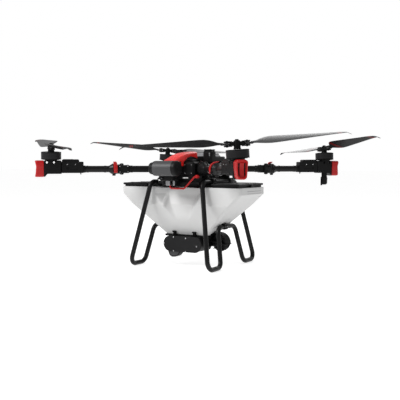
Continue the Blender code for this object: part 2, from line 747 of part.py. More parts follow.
def feeder_housing():
    """Tray under the outlet, with the feeder's throat, its side outlets and the gearbox in front."""
    tray = block((-0.155, -0.1185, 0.1815), (0.1385, 0.0400, HOPPER_LOW - GAP), 0.002)
    body = block((-0.110, -0.1020, 0.094), (0.110, 0.0200, 0.185), 0.008)
    gearbox = outline(obround(COVER_HALF_X - 0.003, COVER_R - 0.003, COVER_Z), 0.056, across="Y", offset=-0.1280)
    right_bracket = block((0.090, 0.0045, 0.128), (0.213, 0.0180, 0.166), 0.002)
    left_bracket = block((-0.195, 0.0990, 0.085), (-0.085, 0.1080, 0.112), 0.002)
    left_arm = block((-0.1055, 0.0100, 0.098), (-0.085, 0.1070, 0.124), 0.002)
    elbow = rod((ELBOW_X, -0.1535, 0.101), (ELBOW_X, -0.1060, 0.101), 0.045, 20)
    throat = block((-0.092, -0.0850, 0.112), (0.092, -0.0060, 0.30))
    ports = block((-0.20, -0.066, 0.124), (0.20, -0.024, 0.166))
    return combined([tray, body, gearbox, elbow, right_bracket, left_bracket, left_arm], [throat, ports])


def feed_roller():
    """Fluted metering roller that lies along the throat."""
    core = rod((-0.089, 0, 0), (0.089, 0, 0), 0.016, 16)
    flutes = []
    for step in range(4):
        flute = block((-0.086, -0.0030, -0.0285), (0.086, 0.0030, 0.0285))
        flutes.append(moved(flute, Matrix.Rotation(math.radians(45 * step), 4, "X")))
    return combined([core, *flutes])


def front_cover():
    """Flat cover plate with half-round ends on the gearbox."""
    return outline(obround(COVER_HALF_X, COVER_R, COVER_Z, 10), 0.0060, across="Y", offset=-0.1600, bevel=0.001)


def spreading_disc():
    """Upright disc with a hub and six vanes on its front face; its axis is Y."""
    plate = rod((0, 0.018, 0), (0, 0.022, 0), DISC_R, 28)
    hub = rod((0, 0.0225, 0), (0, -0.006, 0), 0.014, 14)
    vanes = []
    for step in range(3):
        vane = block((-DISC_R + 0.004, -0.012, -0.0014), (DISC_R - 0.004, 0.0195, 0.0014))
        vanes.append(moved(vane, Matrix.Rotation(math.radians(60 * step + 12), 4, "Y")))
    return combined([plate, hub, *vanes])


def disc_guard(side):
    """Guard over the top and the outer side of a disc, with a back plate and a lip at its open end."""
    inner = [polar(GUARD_R - 0.0045, a) for a in range(-4, 203, 15)]
    outer = [polar(GUARD_R, a) for a in range(-4, 203, 15)]
    ring = [(side * x, z) for x, z in inner + outer[::-1]]
    wall = outline(ring, 0.066, across="Y")
    lip_x = sorted((side * (GUARD_R - 0.004), side * (GUARD_R + 0.008)))
    lip = block((lip_x[0], -0.033, -0.0035), (lip_x[1], 0.033, 0.0005))
    sector = [(side * x, z) for x, z in outer] + [(side * -0.030, -0.048), (side * 0.030, -0.048)]
    back = outline(sector, 0.0045, across="Y", offset=0.0331)
    motor = rod((0, 0.034, 0), (0, 0.0435, 0), 0.024, 18)
    return combined([wall, lip, back, motor])


# ---------------------------------------------------------------- landing gear


def landing_gear(side):
    """One bent tube: a top rail, two feet and a middle rail between them, with its clamps."""
    corners = [
        (GEAR_TOP_X, -0.231, DECK_LOW),
        (GEAR_FOOT_X, -0.326, GEAR_TUBE_R),
        (GEAR_FOOT_X, -0.168, GEAR_TUBE_R),
        (GEAR_MID_X, -0.122, 0.250),
        (GEAR_MID_X, 0.096, 0.250),
        (GEAR_FOOT_X, 0.134, GEAR_TUBE_R),
        (GEAR_FOOT_X, 0.292, GEAR_TUBE_R),
        (GEAR_TOP_X, 0.198, DECK_LOW),
    ]
    corners = [(side * x, y, z) for x, y, z in corners]
    tube = pipe(rounded_path(corners, GEAR_BEND, 4, cyclic=True), GEAR_TUBE_R, cyclic=True, resolution=2)
    pieces = [tube]
    for y in (-0.130, 0.095):
        x_pair = sorted((side * (RAIL_X + GAP), side * 0.2055))
        pieces.append(block((x_pair[0], y, 0.509), (x_pair[1], y + 0.040, 0.551), 0.003))
    x_pair = sorted((side * 0.2200, side * 0.2520))
    pieces.append(block((x_pair[0], -0.060, 0.2340), (x_pair[1], -0.030, 0.2560), 0.003))
    return combined(pieces)


# ---------------------------------------------------------------- assembly


def build_body():
    add_part("main_frame", main_frame(), "black_plastic")
    add_part("nose_hood", nose_hood(), "red_plastic")
    add_part("radar", radar(), "grey_plastic")
    add_part("front_sensor", front_sensor(), "black_plastic")
    add_part("battery", battery(), "light_grey")
    pivot = Matrix.Translation((0.160, -0.2515, 0.565))
    bar_axis = add_empty("release_bar_axis", pivot)
    add_part("release_bar", moved(release_bar(), pivot.inverted()), "red_plastic", bar_axis)


def build_spreader():
    add_part("hopper", hopper(), "white_plastic")
    add_part("feeder_housing", feeder_housing(), "black_plastic")
    add_part("front_cover", front_cover(), "grey_plastic")
    roller_axis = add_empty("feed_roller_axis", Matrix.Translation((0, -0.0455, 0.145)))
    add_part("feed_roller", feed_roller(), "steel", roller_axis)
    for letter, side in (("R", 1), ("L", -1)):
        pivot = Matrix.Translation((side * 0.2300, HOPPER_Y, 0.5140))
        lid_axis = add_empty(f"lid_axis_{letter}", pivot)
        add_part(f"hopper_lid_{letter}", moved(hopper_lid(side), pivot.inverted()), "black_plastic", lid_axis)
    for letter, (side, centre) in DISCS.items():
        middle = add_empty(f"disc_axis_{letter}", Matrix.Translation(centre))
        add_part(f"spreading_disc_{letter}", spreading_disc(), "dark_metal", middle)
        add_part(f"disc_guard_{letter}", disc_guard(side), "black_plastic", middle)


def build_gear():
    for letter, side in (("R", 1), ("L", -1)):
        add_part(f"landing_gear_{letter}", landing_gear(side), "carbon", smooth=50)


clear_scene()
PARTS = make_collection(COLLECTION)
HELPERS = make_collection("cutters")
build_body()
build_spreader()
build_gear()
for arm_name, (arm_angle, latch_side) in ARMS.items():
    build_arm(arm_name, arm_angle, latch_side)
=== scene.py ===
"""Looks of an agricultural drone: four folding arms with two-blade rotors, a red nose hood over a
radar, a white granule hopper with a feeder below it, and bent-tube landing gear.

Metres, +Z up, ground at Z = 0, nose towards -Y. Every piece is worked out in this frame."""

import json
import math

import bmesh
import bpy
import numpy as np
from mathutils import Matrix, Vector

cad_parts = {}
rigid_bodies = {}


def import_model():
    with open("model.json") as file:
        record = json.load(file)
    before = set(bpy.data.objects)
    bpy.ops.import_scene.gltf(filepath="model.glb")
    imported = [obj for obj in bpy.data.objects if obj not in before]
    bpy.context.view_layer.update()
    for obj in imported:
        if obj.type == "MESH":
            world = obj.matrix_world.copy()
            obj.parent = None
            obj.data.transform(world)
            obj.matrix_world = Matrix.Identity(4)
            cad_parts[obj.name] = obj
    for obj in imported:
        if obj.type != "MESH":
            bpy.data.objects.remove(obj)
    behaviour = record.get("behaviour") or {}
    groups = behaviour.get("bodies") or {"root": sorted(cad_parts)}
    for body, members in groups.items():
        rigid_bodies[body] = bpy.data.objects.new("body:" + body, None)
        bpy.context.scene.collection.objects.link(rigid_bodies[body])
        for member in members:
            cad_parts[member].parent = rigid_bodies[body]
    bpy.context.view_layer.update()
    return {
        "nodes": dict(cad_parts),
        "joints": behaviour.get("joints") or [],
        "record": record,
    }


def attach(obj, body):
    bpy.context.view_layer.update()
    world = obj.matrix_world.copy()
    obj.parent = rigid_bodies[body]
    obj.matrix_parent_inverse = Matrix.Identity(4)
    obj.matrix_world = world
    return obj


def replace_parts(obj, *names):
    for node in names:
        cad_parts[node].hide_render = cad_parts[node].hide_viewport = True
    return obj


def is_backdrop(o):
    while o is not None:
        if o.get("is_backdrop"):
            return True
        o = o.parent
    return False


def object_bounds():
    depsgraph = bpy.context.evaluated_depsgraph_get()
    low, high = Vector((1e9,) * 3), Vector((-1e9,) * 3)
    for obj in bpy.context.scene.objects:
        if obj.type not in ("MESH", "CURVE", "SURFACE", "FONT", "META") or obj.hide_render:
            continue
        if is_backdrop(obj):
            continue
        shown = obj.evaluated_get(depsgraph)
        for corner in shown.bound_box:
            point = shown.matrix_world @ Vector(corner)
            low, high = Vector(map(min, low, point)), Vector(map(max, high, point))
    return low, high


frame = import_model()
joints = {joint["name"]: joint for joint in frame["joints"]}

# ---- studio
# A pale paper floor, which glows a little so that it stays white far out, under a sky that looks
# white and gives less light than that. A large soft light stands high in front on the left, with a
# weak one on the right and one behind. The camera stands low in front of the drone's right side.


def aimed(name, data, place, target):
    """An object at a place whose own -Z axis points at a target."""
    obj = bpy.data.objects.new(name, data)
    bpy.context.scene.collection.objects.link(obj)
    obj.location = place
    obj.rotation_mode = "QUATERNION"
    obj.rotation_quaternion = (Vector(target) - Vector(place)).to_track_quat("-Z", "Y")
    return obj


def area_light(name, place, size, power):
    """A square soft light that faces the drone's middle."""
    lamp = bpy.data.lights.new(name, "AREA")
    lamp.shape = "SQUARE"
    lamp.size = size
    lamp.energy = power
    return aimed(name, lamp, place, (0, 0, 0.45))


camera_data = bpy.data.cameras.new("camera")
camera_data.lens = 59.24
camera_data.sensor_width = 36
eye = Vector((2.1726, -3.6437, 0.6397))
bpy.context.scene.camera = aimed("camera", camera_data, eye, eye + Vector((-0.50519, 0.86128, -0.05444)))
area_light("key", (-2.2, -3.3, 3.6), 2.2, 215)
area_light("fill", (3.6, -1.6, 2.0), 2.0, 5)
area_light("back", (-0.6, 4.2, 2.6), 3.0, 60)

world = bpy.data.worlds.new("white_sky")
bpy.context.scene.world = world
world.use_nodes = True
world.node_tree.nodes["Background"].inputs["Color"].default_value = (1, 1, 1, 1)
sky_nodes, sky_links = world.node_tree.nodes, world.node_tree.links
seen = sky_nodes.new("ShaderNodeLightPath")
strength = sky_nodes.new("ShaderNodeMapRange")
strength.inputs["To Min"].default_value = 0.42
strength.inputs["To Max"].default_value = 1.0
sky_links.new(seen.outputs["Is Camera Ray"], strength.inputs["Value"])
sky_links.new(strength.outputs["Result"], sky_nodes["Background"].inputs["Strength"])
bpy.context.scene.view_settings.view_transform = "Standard"


def surface(
    name, light, dark, roughness, metallic=0.0, coat=0.0, gloss=0.25, broad=6.0, grain=900.0, bump=0.12,
    stretch=(1, 1, 1)
):
    """A Principled surface from Object coordinates. Colour = dark + (light - dark) x broad noise;
    roughness = its value + 0.16 x (fine noise - 0.5); the fine noise also gives the bump. Both
    noises are read at the coordinates times stretch."""
    material = bpy.data.materials.new(name)
    material.use_nodes = True
    nodes, links = material.node_tree.nodes, material.node_tree.links
    shader = nodes["Principled BSDF"]
    shader.inputs["Metallic"].default_value = metallic
    shader.inputs["Coat Weight"].default_value = coat
    shader.inputs["Specular IOR Level"].default_value = gloss
    shader.inputs["Coat Roughness"].default_value = 0.12
    place = nodes.new("ShaderNodeTexCoord")
    scaled = nodes.new("ShaderNodeVectorMath")
    scaled.operation = "MULTIPLY"
    scaled.inputs[1].default_value = stretch
    links.new(place.outputs["Object"], scaled.inputs[0])
    noises = []
    for scale, detail in ((broad, 4.0), (grain, 2.0)):
        noise = nodes.new("ShaderNodeTexNoise")
        noise.inputs["Scale"].default_value = scale
        noise.inputs["Detail"].default_value = detail
        links.new(scaled.outputs[0], noise.inputs["Vector"])
        noises.append(noise)
    tone = nodes.new("ShaderNodeMix")
    tone.data_type = "RGBA"
    tone.inputs["A"].default_value = (*dark, 1)
    tone.inputs["B"].default_value = (*light, 1)
    links.new(noises[0].outputs["Fac"], tone.inputs["Factor"])
    links.new(tone.outputs["Result"], shader.inputs["Base Color"])
    rough = nodes.new("ShaderNodeMapRange")
    rough.inputs["To Min"].default_value = roughness - 0.08
    rough.inputs["To Max"].default_value = roughness + 0.08
    links.new(noises[1].outputs["Fac"], rough.inputs["Value"])
    links.new(rough.outputs["Result"], shader.inputs["Roughness"])
    relief = nodes.new("ShaderNodeBump")
    relief.inputs["Strength"].default_value = bump
    relief.inputs["Distance"].default_value = 0.0004
    links.new(noises[1].outputs["Fac"], relief.inputs["Height"])
    links.new(relief.outputs["Normal"], shader.inputs["Normal"])
    return material


floor_mesh = bpy.data.meshes.new("floor")
floor_mesh.from_pydata([(-60, -60, 0), (60, -60, 0), (60, 60, 0), (-60, 60, 0)], [], [(0, 1, 2, 3)])
floor = bpy.data.objects.new("floor", floor_mesh)
bpy.context.scene.collection.objects.link(floor)
paper = surface("floor_paper", (0.56, 0.56, 0.56), (0.54, 0.54, 0.54), 0.8, broad=0.4, grain=60, bump=0.02)
paper.node_tree.nodes["Principled BSDF"].inputs["Emission Color"].default_value = (1, 1, 1, 1)
paper.node_tree.nodes["Principled BSDF"].inputs["Emission Strength"].default_value = 0.74
floor_mesh.materials.append(paper)
floor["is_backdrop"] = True

# ---- finishes
# The record's material slots as surfaces: moulded plastics with a fine grain, satin carbon, dark
# anodised metal, brushed steel, a glossy red for the hood, and the glass of a lens.

black_plastic = surface(
    "black_plastic", (0.0085, 0.0085, 0.0088), (0.0042, 0.0042, 0.0044), 0.4, gloss=0.11
)
soft_black = surface(
    "soft_black", (0.006, 0.006, 0.0062), (0.0028, 0.0028, 0.003), 0.5, gloss=0.08, grain=500, bump=0.2
)
carbon_tube = surface(
    "carbon_tube", (0.0075, 0.0075, 0.0078), (0.004, 0.004, 0.0042), 0.32, gloss=0.2, grain=1600, bump=0.05
)
dark_metal = surface(
    "dark_metal", (0.018, 0.018, 0.019), (0.01, 0.01, 0.0105), 0.34, metallic=0.1, gloss=0.12,
    stretch=(1, 1, 12), bump=0.05
)
grey_plastic = surface("grey_plastic", (0.058, 0.058, 0.06), (0.042, 0.042, 0.044), 0.42)
plate_grey = surface("plate_grey", (0.014, 0.014, 0.0145), (0.01, 0.01, 0.0105), 0.45, gloss=0.12)
light_grey = surface("light_grey", (0.3, 0.3, 0.31), (0.24, 0.24, 0.25), 0.4)
red_plastic = surface("red_plastic", (0.44, 0.01, 0.011), (0.34, 0.007, 0.008), 0.33, gloss=0.25, bump=0.06)
hood_red = surface("hood_red", (0.86, 0.022, 0.018), (0.76, 0.016, 0.014), 0.26, gloss=0.5, bump=0.05)
white_plastic = surface(
    "white_plastic", (0.6, 0.6, 0.597), (0.555, 0.555, 0.552), 0.42, broad=3, grain=400, bump=0.06
)
steel = surface(
    "steel", (0.5, 0.5, 0.51), (0.34, 0.34, 0.35), 0.28, metallic=1.0, stretch=(1, 8, 1), bump=0.04
)
lens_glass = surface("lens_glass", (0.02, 0.022, 0.03), (0.01, 0.011, 0.016), 0.12, coat=1.0, bump=0.0)
led_white = surface("led_white", (0.92, 0.92, 0.9), (0.84, 0.84, 0.82), 0.3, grain=300)

# ---- rotor hubs and bells
# Each motor is a dark cup with two black rims and cooling slots in its top. On it stands the hub: a
# ribbed boss with a cap, and a bar whose two forks hold the blades with a bolt each.


def placed(part, matrix):
    """A part's points carried into a frame given as a 4 x 4 matrix."""
    points, quads = part
    return points @ matrix[:3, :3].T + matrix[:3, 3], quads


def frame_at(origin, x_axis, z_axis):
    """The 4 x 4 matrix of a right-handed frame from its origin, its z axis and roughly its x axis."""
    z = np.array(z_axis, float) / np.linalg.norm(z_axis)
    x = np.array(x_axis, float) - np.dot(x_axis, z) * z
    x /= np.linalg.norm(x)
    matrix = np.eye(4)
    matrix[:3, 0], matrix[:3, 1], matrix[:3, 2], matrix[:3, 3] = x, np.cross(z, x), z, origin
    return matrix


def grid(rings, loop=False):
    """(points, quads) of rings of equally many points, joined in order. Unless the rings run in a
    loop, each end is closed with a ring drawn in to its middle."""
    rings = np.asarray(rings, float)
    if not loop:
        ends = rings[[0, -1]].mean(axis=1, keepdims=True).repeat(rings.shape[1], axis=1)
        rings = np.concatenate([ends[:1], rings, ends[1:]])
    rows, columns = rings.shape[:2]
    index = np.arange(rows * columns).reshape(rows, columns)
    here = index if loop else index[:-1]
    there = np.roll(index, -1, axis=0) if loop else index[1:]
    quads = np.stack([here, np.roll(here, -1, axis=1), np.roll(there, -1, axis=1), there], axis=-1)
    return rings.reshape(-1, 3), quads.reshape(-1, 4)


def arced(corners, radius, steps=4, loop=False):
    """A polyline with each corner replaced by a circular arc. The arc touches both edges, and its
    radius shrinks where an edge is too short for it."""
    corners = np.asarray(corners, float)
    back = np.roll(corners, 1, axis=0) - corners
    ahead = np.roll(corners, -1, axis=0) - corners
    reach = np.minimum(np.linalg.norm(back, axis=1), np.linalg.norm(ahead, axis=1)) * 0.49
    back /= np.linalg.norm(back, axis=1, keepdims=True)
    ahead /= np.linalg.norm(ahead, axis=1, keepdims=True)
    half = np.arccos(np.clip((back * ahead).sum(axis=1), -0.999999, 0.999999)) / 2
    size = np.minimum(radius, reach * np.tan(half))
    inward = (back + ahead) / (2 * np.cos(half))[:, None]
    middle = corners + inward * (size / np.sin(half))[:, None]
    start = corners + back * (size / np.tan(half))[:, None] - middle
    end = corners + ahead * (size / np.tan(half))[:, None] - middle
    sweep = (np.pi - 2 * half)[:, None, None]
    part = np.linspace(0, 1, steps + 1)[None, :, None]
    arcs = middle[:, None] + (
        start[:, None] * np.sin((1 - part) * sweep) + end[:, None] * np.sin(part * sweep)
    ) / np.sin(sweep)
    if loop:
        return arcs.reshape(-1, corners.shape[1])
    inner = arcs[1:-1].reshape(-1, corners.shape[1])
    return np.concatenate([corners[:1], inner, corners[-1:]])


def lathe(profile, matrix=None, around=48, ease=0.0008):
    """A turned body: each (radius, height) pair of the profile, its corners eased, becomes a circle
    about the z axis of the frame."""
    radius, height = arced(profile, ease, 3).T
    turn = np.linspace(0, 2 * np.pi, around, endpoint=False)
    rings = np.stack(
        [
            radius[:, None] * np.cos(turn), radius[:, None] * np.sin(turn), height[:, None] + 0 * turn
        ], axis=-1
    )
    return placed(grid(rings), np.eye(4) if matrix is None else matrix)


def cushion(low, high, radius=0.002, matrix=None, steps=3):
    """A box with rounded edges, from two opposite corners in either order: a small sphere cut into
    eighths that are moved out to the corners."""
    low, high = np.sort(np.array([low, high], float), axis=0)
    radius = min(radius, 0.49 * (high - low).min())
    reach = (high - low) / 2 - radius
    quarter = np.linspace(0, np.pi / 2, steps + 1)
    turn = (quarter[None] + np.pi / 2 * np.arange(4)[:, None]).ravel()
    sign_x = np.repeat([1, -1, -1, 1], steps + 1)
    sign_y = np.repeat([1, 1, -1, -1], steps + 1)
    climb = np.concatenate([quarter - np.pi / 2, quarter])[:, None]
    sign_z = np.repeat([-1, 1], steps + 1)[:, None]
    rings = np.stack(
        [
            sign_x * reach[0] + radius * np.cos(climb) * np.cos(turn),
            sign_y * reach[1] + radius * np.cos(climb) * np.sin(turn),
            sign_z * reach[2] + radius * np.sin(climb) + 0 * turn,
        ],
        axis=-1,
    )
    return placed(grid(rings + (low + high) / 2), np.eye(4) if matrix is None else matrix)


def solid(name, parts, material, sharp=32.0, values=None):
    """One object from closed parts. Points within a micrometre are joined, a face that loses a
    corner by that becomes a triangle, and edges that turn by more than sharp degrees stay hard.
    values holds numbers kept at the points, by attribute name."""
    shifts = np.cumsum([0] + [len(points) for points, _ in parts[:-1]])
    points = np.concatenate([points for points, _ in parts])
    quads = np.concatenate([quads + shift for (_, quads), shift in zip(parts, shifts)])
    _, first, index = np.unique(
        np.round(points * 1e6).astype(np.int64), axis=0, return_index=True, return_inverse=True
    )
    points, quads = points[first], index.reshape(-1)[quads]
    keep = quads != np.roll(quads, 1, axis=1)
    whole = keep.sum(axis=1) > 2
    corners, counts = quads[whole][keep[whole]], keep[whole].sum(axis=1)
    mesh = bpy.data.meshes.new(name)
    mesh.vertices.add(len(points))
    mesh.vertices.foreach_set("co", points.astype(np.float32).ravel())
    mesh.loops.add(len(corners))
    mesh.loops.foreach_set("vertex_index", corners.astype(np.int32))
    mesh.polygons.add(len(counts))
    mesh.polygons.foreach_set("loop_start", np.concatenate([[0], np.cumsum(counts)[:-1]]).astype(np.int32))
    mesh.update(calc_edges=True)
    for attribute, numbers in (values or {}).items():
        mesh.attributes.new(attribute, "FLOAT", "POINT").data.foreach_set(
            "value", numbers[first].astype(np.float32)
        )
    bm = bmesh.new()
    bm.from_mesh(mesh)
    bmesh.ops.recalc_face_normals(bm, faces=bm.faces)
    bm.to_mesh(mesh)
    bm.free()
    mesh.shade_smooth()
    mesh.set_sharp_from_angle(angle=math.radians(sharp))
    mesh.materials.append(material)
    obj = bpy.data.objects.new(name, mesh)
    bpy.context.scene.collection.objects.link(obj)
    even = obj.modifiers.new("even_normals", "WEIGHTED_NORMAL")
    even.keep_sharp = True
    return obj


def screw(place, direction, radius=0.0028, height=0.0018):
    """A socket-head screw: a low turned head with a sunk middle."""
    profile = [
        (0, -height), (radius, -height), (radius, height * 0.7), (radius * 0.8, height),
        (radius * 0.45, height), (radius * 0.4, height * 0.2), (0, height * 0.2),
    ]
    aside = (1, 0, 0) if abs(direction[0]) < 0.8 * np.linalg.norm(direction) else (0, 1, 0)
    return lathe(profile, frame_at(place, aside, direction), 16, 0.0003)


LATCH_SIDE = {"FR": -1, "FL": 1, "RR": 1, "RL": -1}
rotor_frames = {}
for arm, side in LATCH_SIDE.items():
    spin = joints[f"rotor_{arm}_spin"]
    pin = np.array(joints[f"blade_a_{arm}_fold"]["pos_m"])
    rotor = frame_at(
        spin["pos_m"], pin - np.array(spin["pos_m"]), np.array(spin["axis"]) * np.sign(spin["axis"][2])
    )
    rotor_frames[arm] = rotor
    bell = [
        lathe(
            [
                (0, -0.0365), (0.0525, -0.0365), (0.0525, -0.0715), (0.06, -0.0715), (0.06, -0.033),
                (0.0575, -0.0297), (0, -0.0297)
            ],
            rotor, 96,
        )
    ]
    slots = [
        placed(
            cushion((0.024, -0.0028, -0.032), (0.052, 0.0028, -0.0292), 0.001),
            rotor @ frame_at((0, 0, 0), (math.cos(turn), math.sin(turn), 0), (0, 0, 1)),
        )
        for turn in np.radians(np.arange(0, 360, 30))
    ]
    rims = [
        lathe(
            [(0.056, low), (0.0608, low), (0.0608, high), (0.056, high), (0.056, low + 1e-5)], rotor, 96,
            0.0005
        )
        for low, high in ((-0.0748, -0.0712), (-0.0352, -0.0316))
    ]
    shell = solid(f"bell_{arm}", bell, dark_metal)
    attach(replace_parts(shell, f"motor_bell_{arm}"), f"rotor_{arm}")
    trim = solid(f"bell_trim_{arm}", rims + slots, soft_black)
    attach(trim, f"rotor_{arm}")
    hub = [
        lathe(
            [
                (0, -0.0288), (0.02, -0.0288), (0.02, -0.024), (0.0172, -0.0225), (0.0172, 0.012),
                (0.015, 0.0165), (0.0095, 0.0185), (0.009, 0.0225), (0, 0.0232),
            ],
            rotor, 40,
        ),
        cushion((-0.0385, -0.012, -0.011), (0.0385, 0.012, 0.011), 0.003, rotor),
    ]
    for turn in np.radians(np.arange(15, 375, 60)):
        rib = frame_at((0, 0, 0), (math.cos(turn), math.sin(turn), 0), (0, 0, 1))
        hub.append(placed(cushion((0.015, -0.0018, -0.024), (0.019, 0.0018, 0.013), 0.0008), rotor @ rib))
    bolts = []
    for reach in (-0.052, 0.052):
        for low, high in ((-0.0148, -0.0062), (0.0062, 0.0148)):
            hub.append(cushion((reach - 0.015, -0.014, low), (reach + 0.015, 0.014, high), 0.003, rotor))
            hub.append(cushion((0.6 * reach - 0.006, -0.0105, low + 0.001 * (low > 0)),
                               (0.6 * reach + 0.006, 0.0105, high - 0.001), 0.002, rotor))
        for end in (-1, 1):
            head = frame_at((reach, 0, end * 0.0148), (1, 0, 0), (0, 0, end))
            bolt = [(0, -0.01), (0.0052, -0.01), (0.0052, 0.0022), (0.0026, 0.0026), (0.0022, 0.001),
                    (0, 0.001)]
            bolts.append(lathe(bolt, rotor @ head, 24, 0.0005))
    boss = solid(f"hub_{arm}", hub, soft_black)
    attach(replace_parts(boss, f"rotor_hub_{arm}"), f"rotor_{arm}")
    bolt = solid(f"hub_bolts_{arm}", bolts, dark_metal)
    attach(bolt, f"rotor_{arm}")

# ---- blades
# Folding carbon blades: a flat eye, a neck, and a twisted aerofoil whose chord is widest at a
# quarter of the radius. A dark red patch marks the root and two thin red bands mark the tip.


def blade_surface(name, bands):
    """Satin carbon, glossier on faces that look up, with a painted highlight there: their colour is
    painted paler. Both grow in step with the normal's height from -0.2 to 0.3. The colour turns to a
    band's paint where the blade's own span attribute, its share of the radius, lies between the band's
    two ends."""
    material = surface(
        name, (0.016, 0.016, 0.0165), (0.009, 0.009, 0.0095), 0.36, gloss=0.3, grain=1800, bump=0.05
    )
    nodes, links = material.node_tree.nodes, material.node_tree.links
    shader = nodes["Principled BSDF"]
    colour = shader.inputs["Base Color"].links[0].from_socket
    shape = nodes.new("ShaderNodeNewGeometry")
    parts = nodes.new("ShaderNodeSeparateXYZ")
    links.new(shape.outputs["Normal"], parts.inputs[0])
    # First range: gloss by the normal's height. Second range: strength of a painted highlight, a paler colour
    # on faces that look up.
    for low, high in ((0.01, 0.45), (0.0, 0.6)):
        upward = nodes.new("ShaderNodeMapRange")
        upward.inputs["From Min"].default_value = -0.2
        upward.inputs["From Max"].default_value = 0.3
        upward.inputs["To Min"].default_value = low
        upward.inputs["To Max"].default_value = high
        links.new(parts.outputs["Z"], upward.inputs["Value"])
        if low:
            links.new(upward.outputs["Result"], shader.inputs["Specular IOR Level"])
    # Painted highlight: faces that look up are mixed towards a paler grey, standing in for light from above.
    painted_top_highlight = nodes.new("ShaderNodeMix")
    painted_top_highlight.data_type = "RGBA"
    painted_top_highlight.inputs["B"].default_value = (0.085, 0.085, 0.087, 1)
    links.new(upward.outputs["Result"], painted_top_highlight.inputs["Factor"])
    links.new(colour, painted_top_highlight.inputs["A"])
    colour = painted_top_highlight.outputs["Result"]
    span = nodes.new("ShaderNodeAttribute")
    span.attribute_name = "span"
    for low, high, paint in bands:
        away = nodes.new("ShaderNodeMath")
        away.operation = "COMPARE"
        away.inputs[1].default_value = (low + high) / 2
        away.inputs[2].default_value = (high - low) / 2
        links.new(span.outputs["Fac"], away.inputs[0])
        mixed = nodes.new("ShaderNodeMix")
        mixed.data_type = "RGBA"
        mixed.inputs["B"].default_value = (*paint, 1)
        links.new(away.outputs[0], mixed.inputs["Factor"])
        links.new(colour, mixed.inputs["A"])
        colour = mixed.outputs["Result"]
    links.new(colour, shader.inputs["Base Color"])
    return material


tip_bands = [(0.885, 0.893, (0.25, 0.02, 0.02)), (0.902, 0.91, (0.25, 0.02, 0.02))]
blade_carbon = blade_surface("blade_carbon", tip_bands)
marked_carbon = blade_surface("blade_carbon_marked", [*tip_bands, (0.245, 0.3, (0.085, 0.009, 0.009))])
RADIUS = 0.597
PIN_R = 0.052
station = np.concatenate(
    [np.linspace(0.022, 0.12, 30), np.linspace(0.125, 0.5, 56), np.linspace(0.503, RADIUS - PIN_R, 22)]
)
share = (station + PIN_R) / RADIUS
knots = [0.12, 0.145, 0.17, 0.2, 0.24, 0.275, 0.31, 0.36, 0.6, 0.9, 0.965, 0.985, 1.0]
chord = np.interp(
    share, knots, [0.022, 0.027, 0.04, 0.062, 0.092, 0.108, 0.114, 0.113, 0.088, 0.052, 0.036, 0.026, 0.01]
)
chord = np.convolve(np.pad(chord, 3, mode="edge"), np.ones(7) / 7, mode="valid")
pitch = np.radians(np.interp(share, [0.12, 0.2, 0.3, 0.6, 1.0], [7, 19, 19, 15, 8]))
thick = np.interp(share, [0.12, 0.2, 0.35, 1.0], [0.011, 0.0105, 0.009, 0.0026])
bend_back = -0.014 * np.clip((share - 0.85) / 0.15, 0, 1) ** 2
droop = -0.012 * np.clip((share - 0.958) / 0.042, 0, 1) ** 1.3
angle = np.linspace(0, 2 * np.pi, 40, endpoint=False)
forward = 0.5 * np.cos(angle) + 0.14
upward = 0.5 * np.sin(angle) * np.where(np.sin(angle) > 0, 1.25, 0.75)
ahead = chord[:, None] * forward + bend_back[:, None]
above = thick[:, None] * upward + 0.01 * chord[:, None] * (1 - (2 * forward - 0.28) ** 2)
for arm, side in LATCH_SIDE.items():
    wing = np.stack(
        [
            np.repeat(station[:, None], len(angle), axis=1),
            -side * (ahead * np.cos(pitch)[:, None] - above * np.sin(pitch)[:, None]),
            ahead * np.sin(pitch)[:, None] + above * np.cos(pitch)[:, None]
            + station[:, None] * math.tan(math.radians(2.4)) + droop[:, None],
        ],
        axis=-1,
    )
    for letter, end in (("a", 1), ("b", -1)):
        root = rotor_frames[arm] @ frame_at((end * PIN_R, 0, 0), (end, 0, 0), (0, 0, 1))
        parts = [
            placed(grid(wing), root),
            lathe(
                [
                    (0.0046, -0.0058), (0.0124, -0.0058), (0.0124, 0.0058), (0.0046, 0.0058),
                    (0.0046, -0.00579)
                ], root, 32, 0.0012
            ),
            cushion((0.0075, -0.0105, -0.0057), (0.032, 0.0105, 0.0057), 0.003, root),
        ]
        local = np.concatenate([points for points, _ in parts]) - root[:3, 3]
        outline = solid(
            f"blade_{letter}_{arm}_wing", parts, marked_carbon if arm == "RR" else blade_carbon, 40,
            {"span": (local @ root[:3, 0] + PIN_R) / RADIUS}
        )
        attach(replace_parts(outline, f"blade_{letter}_{arm}"), f"blade_{letter}_{arm}")

# ---- arms
# Each arm is a tapered root sleeve and a carbon tube up to the folding knuckle, then a ringed
# coupling on a hinge lug, a second tube, the speed controller's box and the motor mount.

ARM_HEIGHT = 0.609


def arm_place(arm):
    """An arm's outward direction, its motor's distance from the centre, and the frame at the
    centre whose X runs out along the tube's axis."""
    hub = np.array(joints[f"rotor_{arm}_spin"]["pos_m"])
    out = np.array([hub[0], hub[1], 0]) / np.hypot(*hub[:2])
    return out, np.hypot(*hub[:2]), frame_at((0, 0, ARM_HEIGHT), out, (0, 0, 1))


